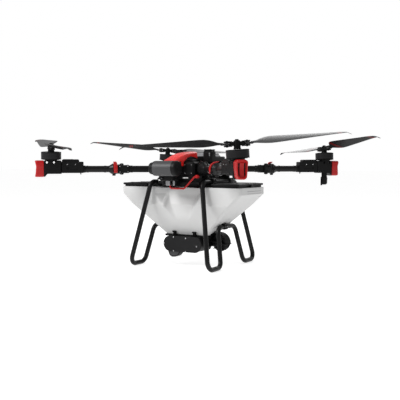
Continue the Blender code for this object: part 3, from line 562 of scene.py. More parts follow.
for arm, side in LATCH_SIDE.items():
    out, motor_r, flat = arm_place(arm)
    axis = frame_at(flat[:3, 3], (0, 0, 1), out)
    pin_x, pin_y = 0.47, -side * 0.037
    pin_frame = flat @ frame_at((pin_x, pin_y, 0), (1, 0, 0), (0, 0, 1))
    inner = [
        lathe(
            [
                (0, 0.2306), (0.04, 0.2306), (0.04, 0.234), (0.0386, 0.235), (0.0386, 0.238), (0.04, 0.239),
                (0.04, 0.246), (0.033, 0.266), (0.025, 0.286), (0.0206, 0.292), (0.0204, 0.406),
                (0.0225, 0.4085), (0.0225, 0.415), (0.0208, 0.416), (0.0208, 0.419), (0.0225, 0.42),
                (0.0225, 0.43), (0.0255, 0.434), (0.0255, 0.44), (0, 0.44),
            ],
            axis, 56,
        ),
        cushion((0.431, -0.0288, -0.0253), (0.4985, 0.0288, 0.0253), 0.0065, flat),
        cushion((0.442, -0.03, -0.012), (0.488, 0.03, 0.012), 0.003, flat),
        lathe([(0, 0.484), (0.0295, 0.484), (0.0295, 0.4985), (0, 0.4985)], axis, 56, 0.0015),
    ]
    for low, high in ((-0.034, -0.0114), (0.0114, 0.034)):
        inner.append(lathe([(0, low), (0.0125, low), (0.0125, high), (0, high)], pin_frame, 36, 0.0018))
        inner.append(
            cushion(
                (pin_x - 0.012, -side * 0.018, max(low, -0.0245)),
                (pin_x + 0.012, pin_y, min(high, 0.0245)), 0.002, flat
            )
        )
    root_piece = solid(f"arm_root_{arm}", inner, black_plastic)
    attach(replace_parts(root_piece, f"inner_arm_{arm}"), "base")
    pins = [
        lathe([(0, end * 0.0335), (0.0068, end * 0.0335), (0.0068, end * 0.0362), (0.003, end * 0.0365),
               (0.0028, end * 0.0352), (0, end * 0.0352)], pin_frame, 24, 0.0004)
        for end in (-1, 1)
    ]
    pins += [
        screw(flat[:3, :3] @ (x, y, 0.0253) + flat[:3, 3], (0, 0, 1)) for x in (0.438, 0.478)
        for y in (-0.019, 0.019)
    ]
    pins += [
        screw(flat[:3, :3] @ (x, side * 0.0288, z) + flat[:3, 3], side * flat[:3, 1]) for x in (0.44, 0.49)
        for z in (-0.017, 0.017)
    ]
    pin_piece = solid(f"hinge_bolts_{arm}", pins, steel)
    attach(pin_piece, "base")

    esc_start, esc_end = motor_r - 0.192, motor_r - 0.06
    outer = [
        lathe(
            [
                (0, 0.4995), (0.0285, 0.4995), (0.03, 0.503), (0.03, 0.511), (0.034, 0.514), (0.034, 0.52),
                (
                    0.0322, 0.5212
                ), (0.0322, 0.5252), (0.034, 0.5264), (0.034, 0.533), (0.029, 0.541), (0.0218, 0.553),
                (0.0202, 0.558), (0.0201, esc_end + 0.03), (0, esc_end + 0.03),
            ],
            axis, 56,
        ),
        cushion((0.505, -side * 0.018, -0.0106), (0.533, -side * 0.0438, 0.0106), 0.002, flat),
        cushion((pin_x, -side * 0.0312, -0.0106), (0.53, -side * 0.0438, 0.0106), 0.002, flat),
        lathe(
            [(0.0056, -0.0106), (0.0124, -0.0106), (0.0124, 0.0106), (0.0056, 0.0106), (0.0056, -0.01059)],
            pin_frame, 32, 0.001
        ),
        placed(lathe([(0, 0.018), (0.01, 0.018), (0.01, 0.041), (0.0062, 0.0418), (0.0055, 0.0395),
                      (0, 0.0395)], None, 24), flat @ frame_at((0.524, 0, 0), (1, 0, 0), (0, 0, -1))),
    ]
    latch_joint = joints[f"latch_{arm}_turn"]
    pivot = np.array(latch_joint["pos_m"])
    pivot_frame = frame_at(pivot, (0, 0, 1), out)
    for low, high in ((-0.0175, -0.0121), (0.0121, 0.0175)):
        outer.append(lathe([(0, low), (0.007, low), (0.007, high), (0, high)], pivot_frame, 24, 0.001))
        y = side * 0.0367
        outer.append(
            cushion((0.5185 + low, side * 0.02, -0.0231), (0.5185 + high, y, -0.0111), 0.0015, flat)
        )
    for low, high in ((0.572, 0.584), (esc_start - 0.032, esc_start - 0.02)):
        outer.append(
            lathe(
                [(0.019, low), (0.0216, low), (0.0216, high), (0.019, high), (0.019, low + 1e-5)], axis, 48,
                0.0008
            )
        )
    tube = solid(f"arm_tube_{arm}", outer, carbon_tube)
    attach(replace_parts(tube, f"outer_arm_{arm}"), f"outer_arm_{arm}")

    box = [
        cushion((esc_start, -0.0298, -0.0238), (esc_end, 0.0298, 0.0458), 0.0045, flat),
        cushion((esc_start + 0.026, -0.027, 0.03), (esc_end - 0.004, 0.027, 0.0583), 0.005, flat),
        cushion((esc_start + 0.06, -0.0225, 0.05), (esc_end - 0.01, 0.0225, 0.061), 0.003, flat),
        lathe(
            [
                (0, esc_start - 0.014), (0.0222, esc_start - 0.014), (0.0222, esc_start + 0.01),
                (0, esc_start + 0.01)
            ], axis, 40, 0.0012
        ),
        cushion((esc_start + 0.012, -0.003, -0.033), (esc_start + 0.018, 0.003, -0.022), 0.001, flat),
    ]
    box += [
        cushion((x, -0.026, 0.048), (x + 0.004, 0.026, 0.0602), 0.001, flat)
        for x in esc_start + np.arange(0.032, 0.058, 0.0075)
    ]
    housing = solid(f"speed_controller_{arm}", box, black_plastic)
    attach(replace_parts(housing, f"esc_box_{arm}"), f"outer_arm_{arm}")
    grooves = []
    studs = []
    for face in (-1, 1):
        grooves.append(
            cushion(
                (esc_start + 0.012, face * 0.028, 0.0208), (esc_end - 0.002, face * 0.0301, 0.0222), 0.0004,
                flat
            )
        )
        grooves.append(
            cushion(
                (esc_start + 0.035, face * 0.028, -0.003), (esc_start + 0.08, face * 0.0301, 0.001), 0.0012,
                flat
            )
        )
        grooves.append(
            cushion(
                (esc_start + 0.088, face * 0.028, -0.004), (esc_start + 0.104, face * 0.0301, 0.012), 0.003,
                flat
            )
        )
        studs += [
            screw(
                flat[:3, :3] @ (esc_start + x, face * 0.0298, 0.029) + flat[:3, 3], face * flat[:3, 1],
                0.0034
            )
            for x in (0.05, 0.098)
        ]
    groove = solid(f"box_grooves_{arm}", grooves, soft_black)
    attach(groove, f"outer_arm_{arm}")
    stud = solid(f"box_screws_{arm}", studs, steel)
    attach(stud, f"outer_arm_{arm}")

# ---- latches and bumpers
# Red mouldings: on each arm a curved lever that closes over the coupling, hinged at its lower end,
# and at the arm's end a rounded guard with proud lips round a sunk panel with two slots.


def swept(path, section, up, loop=False):
    """A bar along a path. At each point the section's (side, up) pairs are laid off across the
    path; side is the path's direction times up."""
    path, section = np.asarray(path, float), np.asarray(section, float)
    along = np.roll(path, -1, axis=0) - np.roll(path, 1, axis=0) if loop else np.gradient(path, axis=0)
    along /= np.linalg.norm(along, axis=1, keepdims=True)
    aside = np.cross(along, up)
    aside /= np.linalg.norm(aside, axis=1, keepdims=True)
    top = np.cross(aside, along)
    return grid(
        path[:, None] + section[..., 0, None] * aside[:, None] + section[..., 1, None] * top[:, None], loop
    )


for arm, side in LATCH_SIDE.items():
    out, motor_r, flat = arm_place(arm)
    turn = np.radians(np.concatenate([np.linspace(-24, 0, 6), np.linspace(4, 104, 26)]))
    reach = np.interp(
        turn, np.radians([-24, -8, 20, 84, 92, 104]), [0.0405, 0.0412, 0.0415, 0.0415, 0.043, 0.0455]
    )
    path = np.stack([0 * turn + 0.5185, side * reach * np.cos(turn), reach * np.sin(turn)], axis=1)
    width = np.interp(turn, np.radians([-24, 0, 60, 104]), [0.01, 0.0112, 0.0112, 0.0085])
    depth = np.interp(turn, np.radians([-24, 0, 90, 104]), [0.0028, 0.0036, 0.0036, 0.0022])
    square = arced([(-1, -1), (1, -1), (1, 1), (-1, 1)], 0.35, 3, loop=True)
    section = np.stack([square[None, :, 0] * depth[:, None], square[None, :, 1] * width[:, None]], axis=-1)
    lever = [placed(swept(path, section, (1, 0, 0)), flat)]
    pivot_frame = frame_at(joints[f"latch_{arm}_turn"]["pos_m"], (0, 0, 1), out)
    lever.append(
        lathe(
            [(0.0029, -0.0112), (0.0068, -0.0112), (0.0068, 0.0112), (0.0029, 0.0112), (0.0029, -0.01119)],
            pivot_frame, 28, 0.001
        )
    )
    spine = turn[(turn > math.radians(8)) & (turn < math.radians(82))]
    ridge = np.stack([0 * spine + 0.5185, side * 0.0452 * np.cos(spine), 0.0452 * np.sin(spine)], axis=1)
    lever.append(placed(swept(ridge, square * (0.001, 0.0022), (1, 0, 0)), flat))
    handle = solid(f"latch_lever_{arm}", lever, red_plastic)
    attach(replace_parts(handle, f"latch_{arm}"), f"latch_{arm}")

    start, end = motor_r + 0.0454, motor_r + 0.1
    shape = arced(
        [
            (-0.0325, 0.0535), (0.0325, 0.0535), (0.0325, 0.018), (0.0255, -0.0475), (-0.0255, -0.0475),
            (-0.0325, 0.018)
        ], 0.019, 8, loop=True
    )
    middle = np.array([0, 0.004])
    rows = []
    for x, shrink in ((0.0, 0.0015), (0.0015, 0.0), (0.04, 0.0), (0.048, 0.001), (0.052, 0.003),
                      (0.0535, 0.006), (0.054, 0.0085), (0.053, 0.0108), (0.048, 0.0128), (0.0445, 0.0145),
                      (0.044, 0.018)):
        ring = shape - (shape - middle) * (shrink / np.linalg.norm(shape - middle, axis=1))[:, None]
        rise = (ring[:, 1] - 0.004) / 0.05
        hollow = np.clip(x / 0.04, 0, 1) * (
            0.011 * (1 - np.clip(np.abs(rise), 0, 1) ** 1.8) + 0.0008 * (rise < -0.7)
        )
        rows.append(np.stack([start + x - hollow, ring[:, 0], ring[:, 1]], axis=-1))
    guard = [placed(grid(rows), flat)]
    heights = np.linspace(-0.028, 0.036, 17)
    panel = start + 0.044 - 0.011 * (1 - np.abs((heights - 0.004) / 0.05) ** 1.8)
    keel = np.stack([panel, 0 * heights, heights], axis=1)
    guard.append(placed(swept(keel, square * (0.003, 0.0118), (0, 1, 0)), flat))
    bumper = solid(f"arm_end_guard_{arm}", guard, red_plastic, 45)
    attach(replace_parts(bumper, f"bumper_{arm}"), f"outer_arm_{arm}")
    slots = [
        placed(swept(keel + (0.0004, y, 0), square * (0.003, 0.003), (0, 1, 0)), flat)
        for y in (-0.015, 0.015)
    ]
    dark = solid(f"guard_slots_{arm}", slots, soft_black)
    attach(dark, f"outer_arm_{arm}")

    mount_screws = [
        screw(flat[:3, :3] @ (motor_r + x, face * 0.033, z) + flat[:3, 3], face * flat[:3, 1], 0.0032)
        for face in (-1, 1) for x, z in ((-0.046, 0.046), (0.036, 0.02), (0.036, -0.022), (-0.02, -0.02))
    ]
    heads = solid(f"mount_screws_{arm}", mount_screws, dark_metal)
    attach(heads, f"outer_arm_{arm}")

# ---- rear pods
# A short rounded barrel under each rear motor mount, with a ring, a lens at its end and a fin.

for arm in ("RR", "RL"):
    out, motor_r, flat = arm_place(arm)
    upright = flat @ frame_at((motor_r + 0.002, 0, 0), (1, 0, 0), (0, 0, 1))
    pod = [
        lathe([(0, -0.108), (0.012, -0.108), (0.0185, -0.103), (0.0208, -0.096), (0.0215, -0.07),
               (0.0222, -0.069), (0.0222, -0.064), (0.0205, -0.063), (0.0185, -0.0494), (0.0185, -0.0289),
               (0, -0.0289)], upright, 48),
        cushion((motor_r - 0.0235, -0.0035, -0.113), (motor_r - 0.013, 0.0035, -0.056), 0.0015, flat),
    ]
    barrel = solid(f"pod_{arm}", pod, black_plastic)
    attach(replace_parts(barrel, f"spray_pod_{arm}"), f"outer_arm_{arm}")

# ---- nose: radar, hood, sensor
# A grey radar cylinder with stepped caps, a thin red hood that arches back over the nose with a leg
# at each side, and a small camera housing under the radar. The light grey battery behind is not built here.

across = frame_at((0, -0.3602, 0.614), (0, 0, 1), (1, 0, 0))
radar_parts = [
    lathe([(0, -0.061), (0.0455, -0.061), (0.0455, 0.07), (0, 0.07)], across, 128, 0.0015),
]
radar = solid("radar_drum", radar_parts, grey_plastic)
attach(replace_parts(radar, "radar"), "base")
cap_parts = [
    lathe(
        [
            (0, 0.0706), (0.0455, 0.0706), (0.0455, 0.09), (0.0435, 0.096), (0.04, 0.098), (0.015, 0.098),
            (0.014, 0.097), (0, 0.097)
        ], across, 96
    ),
    lathe(
        [
            (0, -0.096), (0.03, -0.096), (0.0345, -0.094), (0.036, -0.09), (0.037, -0.074), (0.043, -0.07),
            (0.0445, -0.066), (0.0445, -0.0616), (0, -0.0616)
        ], across, 96
    ),
]
caps = solid("radar_caps", cap_parts, black_plastic)
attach(caps, "base")

hood_y = np.concatenate(
    [np.linspace(-0.31, -0.2402, 24), np.linspace(-0.24, -0.2165, 10), np.linspace(-0.2163, -0.05, 48)]
)
crown = np.interp(hood_y, [-0.31, -0.29, -0.262, -0.23, -0.2, -0.165, -0.13, -0.09, -0.05],
                  [0.659, 0.6685, 0.679, 0.6905, 0.7, 0.7072, 0.712, 0.7152, 0.7175])
crown = np.convolve(np.pad(crown, 4, mode="edge"), np.ones(9) / 9, mode="valid")
hem = np.interp(hood_y, [-0.31, -0.28, -0.2402, -0.24, -0.233, -0.223, -0.2165, -0.2163, -0.196, -0.172,
                         -0.13, -0.085, -0.05],
                [0.656, 0.657, 0.6552, 0.633, 0.6272, 0.6272, 0.633, 0.6552, 0.662, 0.6795, 0.6885, 0.684,
                 0.6752])
hem = np.minimum(hem, crown - 0.004)
half_width = np.interp(hood_y, [-0.31, -0.295, -0.262, -0.05], [0.042, 0.045, 0.046, 0.046])
corner = np.linspace(0, 1, 9)


def hood_ring(inset):
    """Across the hood, from one hem over the crown to the other: two straight sides joined to a
    slightly crowned top by quarter circles of 14 mm less the inset."""
    bend = np.minimum(0.014, (crown - hem) * 0.9) - inset
    side_x, top_z = half_width - inset, crown - inset
    quarter = corner * np.pi / 2
    right_x = side_x[:, None] - bend[:, None] * (1 - np.cos(quarter))
    right_z = top_z[:, None] - bend[:, None] * (1 - np.sin(quarter))
    top = np.linspace(0.9, -0.9, 13)
    top_x = (side_x - bend)[:, None] * top
    top_line = top_z[:, None] + 0.002 * (1 - top ** 2)
    x = np.concatenate([side_x[:, None], right_x, top_x, -right_x[:, ::-1], -side_x[:, None]], axis=1)
    z = np.concatenate([hem[:, None], right_z, top_line, right_z[:, ::-1], hem[:, None]], axis=1)
    return np.stack([x, np.repeat(hood_y[:, None], x.shape[1], axis=1), z], axis=-1)


hood_rings = np.concatenate([hood_ring(0.0), hood_ring(0.0026)[:, ::-1]], axis=1)
hood = solid("hood_shell", [grid(hood_rings)], hood_red, 40)
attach(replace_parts(hood, "nose_hood"), "base")

sensor = [
    cushion((-0.088, -0.298, 0.5365), (0.018, -0.2145, 0.5718), 0.01),
    cushion((-0.07, -0.2995, 0.541), (0.004, -0.294, 0.567), 0.004),
    lathe([(0, 0.285), (0.011, 0.285), (0.011, 0.306), (0.0085, 0.3075), (0.008, 0.302), (0, 0.302)],
          frame_at((-0.06, 0, 0.554), (1, 0, 0), (0, -1, 0)), 40, 0.0006),
]
camera_box = solid("nose_sensor", sensor, black_plastic)
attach(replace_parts(camera_box, "front_sensor"), "base")
lens = solid("nose_lens", [lathe([(0, 0.296), (0.008, 0.296), (0.0078, 0.3028), (0.004, 0.3048), (0, 0.3054)],
                                 frame_at((-0.06, 0, 0.554), (1, 0, 0), (0, -1, 0)), 40, 0.0004)], lens_glass)
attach(lens, "base")
patch = solid("nose_light", [cushion((-0.084, -0.299, 0.5395), (-0.072, -0.293, 0.5455), 0.0015),
                             cushion((0.043, -0.22, 0.5525), (0.08, -0.218, 0.56), 0.0009)], led_white)
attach(patch, "base")

# ---- release bar
# A bent red bar under the nose that swings down about a pin at its right end.

bar_path = arced(
    [
        (-0.029, -0.2515, 0.508), (-0.026, -0.2515, 0.4915), (0.072, -0.2515, 0.4915),
        (0.146, -0.2515, 0.5645), (0.161, -0.2515, 0.565)
    ], 0.016, 10
)


def circle(radius, steps):
    """Points spaced evenly round a circle, as (side, up) pairs."""
    turn = np.linspace(0, 2 * np.pi, steps, endpoint=False)
    return radius * np.stack([np.cos(turn), np.sin(turn)], axis=1)


bar_parts = [
    swept(bar_path, circle(0.0055, 24), (0, 1, 0)),
    lathe(
        [(0, -0.0066), (0.01, -0.0066), (0.01, 0.015), (0, 0.015)],
        frame_at((0.16, -0.2515, 0.565), (1, 0, 0), (0, 1, 0)), 32, 0.0015
    ),
]
bar = solid("nose_bar", bar_parts, red_plastic)
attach(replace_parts(bar, "release_bar"), "release_bar")

# ---- hopper
# Rotomoulded white shell: a wide tray that narrows to an outlet, its front pressed in at the middle
# between two creases, with a small upright boss, and a filler opening under each lid.


def hopper_ring(z, inset):
    """One level of the hopper as a rounded rectangle. Each half width grows in step with the height
    up to the band at 0.455; the front wall is set back by 58 mm x a smooth step of the height x a
    cosine across the middle, and bulges by 6 mm at the boss."""
    rise = min(1.0, (z - 0.195) / 0.26)
    half_x = 0.15 + 0.284 * rise - inset
    half_y = 0.0715 + 0.0935 * min(1.0, rise * 1.35) - inset
    radius = 0.014 + 0.01 * rise
    fade = min(1.0, max(0.0, (z - 0.285) / 0.17))
    recess_half = 0.052 + 0.128 * fade
    depth = 0.058 * fade * fade * (3 - 2 * fade)
    front_x = np.concatenate(
        [
            np.linspace(-(half_x - radius), -0.2, 12)[:-1], np.linspace(-0.2, 0.2, 121),
            np.linspace(0.2, half_x - radius, 12)[1:]
        ]
    ) \
        if half_x - radius > 0.21 else np.linspace(-(half_x - radius), half_x - radius, 143)
    step = np.clip((recess_half - np.abs(front_x)) / (0.42 * recess_half), 0, 1)
    press = step * step * (3 - 2 * step)
    upright = 1 / (1 + np.exp((np.abs(z - 0.405) - 0.036) / 0.002))
    boss = 0.0055 * upright * np.exp(-(((front_x + 0.112) / 0.009) ** 4))
    front_y = -0.04 - half_y + depth * press - boss
    ring = [np.stack([front_x, front_y], axis=1)]
    for sign_x, sign_y, first in ((1, -1, -90), (1, 1, 0), (-1, 1, 90), (-1, -1, 180)):
        bend = np.radians(np.linspace(first, first + 90, 9))
        ring.append(np.stack([sign_x * (half_x - radius) + radius * np.cos(bend),
                              -0.04 + sign_y * (half_y - radius) + radius * np.sin(bend)], axis=1))
    ring = np.concatenate(ring)
    return np.column_stack([ring, np.full(len(ring), z)])


levels = np.concatenate(
    [
        [0.1954, 0.197], np.linspace(0.2, 0.453, 86), [0.4552, 0.458], np.linspace(0.462, 0.4925, 8),
        [0.4955, 0.4968]
    ]
)
outside = [hopper_ring(z, 0.0015 * max(0, (z - 0.4925) / 0.0043) ** 2) for z in levels]
inside = [hopper_ring(min(z, 0.4928), 0.0045) for z in levels[:-1]]
shell_mesh = solid("hopper_blank", [grid(inside[::-1] + outside, loop=False)], white_plastic)
for side in (-1, 1):
    plug = solid(
        "filler_cut",
        [cushion((side * 0.326 - 0.07, -0.16, 0.47), (side * 0.326 + 0.07, 0.08, 0.53), 0.012)],
        white_plastic
    )
    cut = shell_mesh.modifiers.new("cut", "BOOLEAN")
    cut.operation = "DIFFERENCE"
    cut.solver = "EXACT"
    cut.object = plug
bpy.context.view_layer.update()
graph = bpy.context.evaluated_depsgraph_get()
cut_mesh = bpy.data.meshes.new_from_object(shell_mesh.evaluated_get(graph))
for used in [o for o in bpy.data.objects if o.name.startswith(("hopper_blank", "filler_cut"))]:
    bpy.data.objects.remove(used)
cut_mesh.shade_smooth()
cut_mesh.set_sharp_from_angle(angle=math.radians(32))
hopper = bpy.data.objects.new("hopper_shell", cut_mesh)
bpy.context.scene.collection.objects.link(hopper)
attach(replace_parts(hopper, "hopper"), "base")

grips = []
for side in (-1, 1):
    grips.append(cushion((side * 0.4325, -0.122, 0.4735), (side * 0.4352, 0.062, 0.4765), 0.001))
    grips.append(cushion((side * 0.4325, -0.122, 0.46), (side * 0.4352, 0.062, 0.4615), 0.0007))
grip = solid("hopper_grip_lips", grips, light_grey)
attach(grip, "base")

for letter, side in (("R", 1), ("L", -1)):
    lid = [
        cushion((side * 0.234, -0.208, 0.5085), (side * 0.4215, 0.128, 0.5213), 0.0045),
        cushion((side * 0.24, -0.198, 0.4974), (side * 0.413, 0.118, 0.511), 0.003),
        lathe(
            [(0, -0.06), (0.0067, -0.06), (0.0067, 0.06), (0, 0.06)],
            frame_at((side * 0.23, -0.04, 0.514), (1, 0, 0), (0, 1, 0)), 32, 0.001
        ),
    ]
    lid.append(cushion((side * 0.256, -0.185, 0.519), (side * 0.4, 0.105, 0.5228), 0.0018))
    for y in (-0.15, -0.04, 0.07):
        lid.append(cushion((side * 0.256, y - 0.003, 0.5215), (side * 0.4, y + 0.003, 0.5245), 0.0014))
    lid.append(cushion((side * 0.414, -0.06, 0.499), (side * 0.43, -0.02, 0.517), 0.003))
    cover = solid(f"lid_{letter}", lid, black_plastic)
    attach(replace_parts(cover, f"hopper_lid_{letter}"), f"lid_{letter}")

# Two black clamps hold the hopper's foot to the tray, each over a moulded pad in the white wall.
clamps, pads = [], []
for x in (-0.08, 0.0655):
    pads.append(cushion((x - 0.026, -0.116, 0.2), (x + 0.018, -0.1095, 0.234), 0.002))
    clamps.append(cushion((x - 0.0115, -0.125, 0.185), (x + 0.0115, -0.112, 0.211), 0.0028))
    clamps.append(cushion((x - 0.0075, -0.1285, 0.196), (x + 0.0075, -0.116, 0.217), 0.0024))
    clamps.append(
        lathe(
            [(0, -0.014), (0.0046, -0.014), (0.0046, 0.014), (0, 0.014)],
            frame_at((x, -0.1245, 0.212), (0, 0, 1), (1, 0, 0)), 24, 0.001
        )
    )
pad = solid("hopper_pads", pads, white_plastic)
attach(pad, "base")
clamp = solid("hopper_clamps", clamps, soft_black)
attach(clamp, "base")

# ---- feeder
# A flat cover plate with half-round ends and six screws on the gearbox, the rim of a round chute
# below it, and a curved guard round each spreading disc with its lip and fin.

half_turn = np.radians(np.linspace(-90, 90, 33))
ends = [
    np.stack(
        [
            side * (0.139 - 0.0495) + side * 0.0495 * np.cos(side * half_turn),
            0.0495 * np.sin(side * half_turn)
        ], axis=1
    ) for side in (1, -1)
]
plate_outline = np.concatenate(ends)
plate_frame = frame_at((0, -0.16, 0.1385), (1, 0, 0), (0, -1, 0))
plate_rows = []
for height, shrink in (
    (-0.003, 0.0004), (-0.0026, 0.0), (0.002, 0.0), (0.0028, 0.0004), (0.003, 0.0012), (0.003, 0.0055),
    (0.0026, 0.006)
):
    scale = 1 - shrink / np.linalg.norm(plate_outline * (0.35, 1), axis=1).clip(0.045)
    plate_rows.append(
        np.column_stack([plate_outline * scale[:, None] * (1, -1), np.full(len(plate_outline), height)])
    )
plate = solid("cover_plate", [placed(grid(plate_rows), plate_frame)], plate_grey)
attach(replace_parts(plate, "front_cover"), "base")
spots = [(-0.063, 0.18), (0.026, 0.1765), (-0.133, 0.14), (0.106, 0.13), (-0.063, 0.0935), (0.026, 0.0925)]
heads = [screw((x, -0.1632, z), (0, -1, 0), 0.0042, 0.0016) for x, z in spots]
plate_heads = solid("cover_screws", heads, steel)
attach(plate_heads, "base")

rim_frame = frame_at((-0.065, -0.106, 0.101), (1, 0, 0), (0, -1, 0))
rim = solid(
    "chute_rim",
    [
        lathe(
            [(0.0405, 0.048), (0.0462, 0.048), (0.0462, 0.006), (0.0405, 0.006), (0.0405, 0.0479)],
            rim_frame, 48, 0.0008
        )
    ], black_plastic
)
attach(rim, "base")
mouth = solid(
    "chute_mouth", [lathe([(0, 0.045), (0.04, 0.045), (0.04, 0.0486), (0, 0.0486)], rim_frame, 48, 0.0006)],
    grey_plastic
)
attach(mouth, "base")

for letter, side in (("R", 1), ("L", -1)):
    centre = np.array(joints[f"disc_{letter}_spin"]["pos_m"])
    here = frame_at(centre, (1, 0, 0), (0, 0, 1))
    bend = np.radians(np.linspace(-4, 206, 64))
    rail = np.stack([side * 0.06375 * np.cos(bend), 0 * bend, 0.06375 * np.sin(bend)], axis=1)
    wall = swept(
        rail,
        arced(
            [(-0.00225, -0.033), (0.00225, -0.033), (0.00225, 0.033), (-0.00225, 0.033)], 0.001, 3,
            loop=True
        ), (0, 1, 0)
    )
    sector = np.stack([side * 0.0655 * np.cos(bend), 0.0655 * np.sin(bend)], axis=1)
    chin = np.array(
        [(-side * 0.046, -0.04), (-side * 0.03, -0.048), (side * 0.03, -0.048), (side * 0.052, -0.03)]
    )
    face = np.concatenate([sector, chin])
    back = np.stack(
        [np.column_stack([face[:, 0], np.full(len(face), y), face[:, 1]]) for y in (0.031, 0.0352)]
    )
    guard = [
        placed(wall, here),
        placed(grid(back), here),
        cushion((side * 0.062, -0.033, -0.0038), (side * 0.074, 0.033, 0.0006), 0.0012, here),
        lathe(
            [(0, 0.034), (0.024, 0.034), (0.024, 0.0435), (0, 0.0435)],
            here @ frame_at((0, 0, 0), (1, 0, 0), (0, 1, 0)), 48, 0.002
        ),
    ]
    for turn in np.radians((35, 90, 145)):
        a, b = side * math.cos(turn), math.sin(turn)
        guard.append(
            cushion(
                (0.064, -0.0315, -0.0014), (0.0672, 0.0315, 0.0014), 0.0008,
                here @ frame_at((0, 0, 0), (a, 0, b), (-b, 0, a))
            )
        )
    shield = solid(f"disc_shield_{letter}", guard, soft_black, 40)
    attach(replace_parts(shield, f"disc_guard_{letter}"), "base")

# ---- landing gear
# On each side one bent carbon tube runs down to a foot, up to a middle rail, down to the other
# foot and back to the rail under the body. Split clamps with screws hold its top and middle.

for letter, side in (("R", 1), ("L", -1)):
    corners = np.array([
        (0.185, -0.231, 0.53), (0.28, -0.326, 0.0145), (0.28, -0.168, 0.0145), (0.234, -0.122, 0.25),
        (0.234, 0.096, 0.25), (0.28, 0.134, 0.0145), (0.28, 0.292, 0.0145), (0.185, 0.198, 0.53),
    ]) * (side, 1, 1)
    loop_path = arced(corners, 0.045, 14, loop=True)
    gaps = np.linalg.norm(np.roll(loop_path, -1, axis=0) - loop_path, axis=1)
    tube = [swept(loop_path[gaps > 1e-6], circle(0.0145, 32), (1, 0, 0), loop=True)]
    gear = solid(f"gear_tube_{letter}", tube, carbon_tube, 40)
    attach(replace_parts(gear, f"landing_gear_{letter}"), "base")
    holders, bolts = [], []
    for y in (-0.13, 0.095):
        holders.append(cushion((side * 0.1704, y, 0.509), (side * 0.207, y + 0.04, 0.5305), 0.0035))
        holders.append(cushion((side * 0.1704, y, 0.5315), (side * 0.207, y + 0.04, 0.552), 0.0035))
        bolts += [
            screw((side * 0.207, y + step, z), (side, 0, 0), 0.003) for step in (0.008, 0.032)
            for z in (0.516, 0.545)
        ]
    for y in (-0.062, -0.04):
        holders.append(cushion((side * 0.22, y, 0.233), (side * 0.252, y + 0.018, 0.2675), 0.006))
    holders.append(cushion((side * 0.22, -0.066, 0.264), (side * 0.252, -0.018, 0.2705), 0.002))
    bolts += [screw((side * 0.2522, y, 0.251), (side, 0, 0), 0.003) for y in (-0.053, -0.031)]
    holder = solid(f"gear_clamps_{letter}", holders, black_plastic)
    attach(holder, "base")
    bolt = solid(f"gear_screws_{letter}", bolts, steel)
    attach(bolt, "base")

# ---- body details
# Small fittings on the centre body: ribbed silver catches under the nose, brackets and wedges over
# the hopper, seams and screws on its front, cable sleeves, and straps over the battery arches.

catches = []
for low, high in ((-0.056, -0.024), (-0.004, 0.009)):
    catches.append(cushion((low, -0.262, 0.509), (high, -0.236, 0.5392), 0.0025))
    for x in np.arange(low + 0.003, high - 0.002, 0.0052):
        catches.append(cushion((x, -0.2645, 0.511), (x + 0.0022, -0.26, 0.5375), 0.0008))
catch = solid("nose_catches", catches, steel)
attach(catch, "base")

fittings = [
    cushion((-0.11, -0.219, 0.552), (0.036, -0.21, 0.63), 0.004),
    cushion((0.038, -0.2185, 0.545), (0.095, -0.21, 0.57), 0.004),
    cushion((0.05, -0.22, 0.576), (0.112, -0.21, 0.644), 0.006),
    cushion((-0.15, -0.205, 0.518), (0.15, -0.19, 0.533), 0.002),
    cushion((-0.085, -0.256, 0.502), (-0.064, -0.2, 0.538), 0.003),
    cushion((0.003, -0.256, 0.502), (0.016, -0.2, 0.538), 0.003),
]
for side in (-1, 1):
    for y in (-0.15, 0.118):
        fittings.append(cushion((side * 0.15, y, 0.4985), (side * 0.232, y + 0.024, 0.511), 0.002))
        fittings.append(cushion((side * 0.118, y, 0.53), (side * 0.178, y + 0.024, 0.568), 0.006))
    fittings.append(cushion((side * 0.079, -0.03, 0.727), (side * 0.133, 0.027, 0.733), 0.0028))
    fittings.append(
        cushion((side * (0.079 + 0.012), -0.0375, 0.66), (side * (0.133 - 0.012), -0.034, 0.715), 0.0016)
    )
trim = solid("body_fittings", fittings, black_plastic)
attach(trim, "base")

seams = [
    cushion((-0.119, -0.2, 0.602), (-0.1175, 0.2, 0.604), 0.0005),
    cushion((0.1175, -0.2, 0.602), (0.119, 0.2, 0.604), 0.0005),
    cushion((-0.1, 0.214, 0.602), (0.1, 0.216, 0.604), 0.0005),
]
for side in (-1, 1):
    seams.append(cushion((side * 0.138, -0.02, 0.695), (side * 0.1395, 0.0, 0.725), 0.0006))
seam = solid("body_seams", seams, soft_black)
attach(seam, "base")

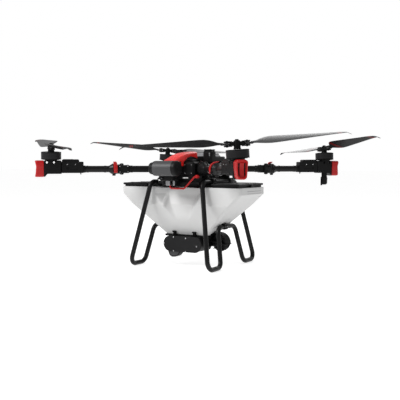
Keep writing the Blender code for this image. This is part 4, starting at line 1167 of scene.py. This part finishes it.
body_screws = [
    screw((x, -0.22, z), (0, -1, 0), 0.0032) for x,
    z in ((0.058, 0.584), (0.104, 0.584), (0.058, 0.636), (0.104, 0.636))
]
body_screws += [
    screw((side * 0.1185, y, z), (side, 0, 0), 0.003) for side in (-1, 1) for y in (-0.09, 0.0, 0.09)
    for z in (0.572, 0.636)
]
body_screws += [screw((x, 0.2155, z), (0, 1, 0), 0.003) for x in (-0.09, 0.0, 0.09) for z in (0.572, 0.636)]
body_screws += [
    screw((side * x, y, 0.733), (0, 0, 1), 0.0028) for side in (-1, 1) for x in (0.086, 0.126)
    for y in (-0.024, 0.021)
]
screws = solid("body_screws", body_screws, steel)
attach(screws, "base")

wires = []
for arm in LATCH_SIDE:
    flat = arm_place(arm)[2]
    for shift in (-0.01, 0.01):
        run = arced(
            [
                (0.15, shift, 0.044), (0.19, shift * 1.2, 0.048), (0.24, shift * 1.4, 0.043),
                (0.284, shift, 0.026), (0.304, shift, 0.012)
            ], 0.02, 8
        )
        wires.append(placed(swept(run, circle(0.0036, 16), (0, 1, 0)), flat))
wire = solid("arm_wires", wires, soft_black, 40)
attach(wire, "base")

# ---- pieces kept from the frame
# The other parts keep their own solids. Their edges are eased by under a millimetre, and each takes
# the surface of its material slot.

kept_surfaces = {
    "black_plastic": black_plastic, "carbon": carbon_tube, "dark_metal": dark_metal,
    "grey_plastic": grey_plastic,
    "light_grey": light_grey, "red_plastic": red_plastic, "steel": steel, "white_plastic": white_plastic,
}
slots_by_node = {row["node"]: row["material_slot"] for row in frame["record"]["subparts"]}
for node, obj in frame["nodes"].items():
    obj.data.materials.clear()
    obj.data.materials.append(kept_surfaces[slots_by_node[node]])
    if obj.hide_render:
        continue
    if "custom_normal" in obj.data.attributes:
        obj.data.attributes.remove(obj.data.attributes["custom_normal"])
    obj.data.shade_smooth()
    weld = obj.modifiers.new("joined", "WELD")
    weld.merge_threshold = 0.00001
    ease = obj.modifiers.new("eased_edges", "BEVEL")
    ease.width = 0.0009
    ease.segments = 2
    ease.limit_method = "ANGLE"
    ease.angle_limit = math.radians(35)
    even = obj.modifiers.new("even_normals", "WEIGHTED_NORMAL")
    even.keep_sharp = True

low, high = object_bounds()
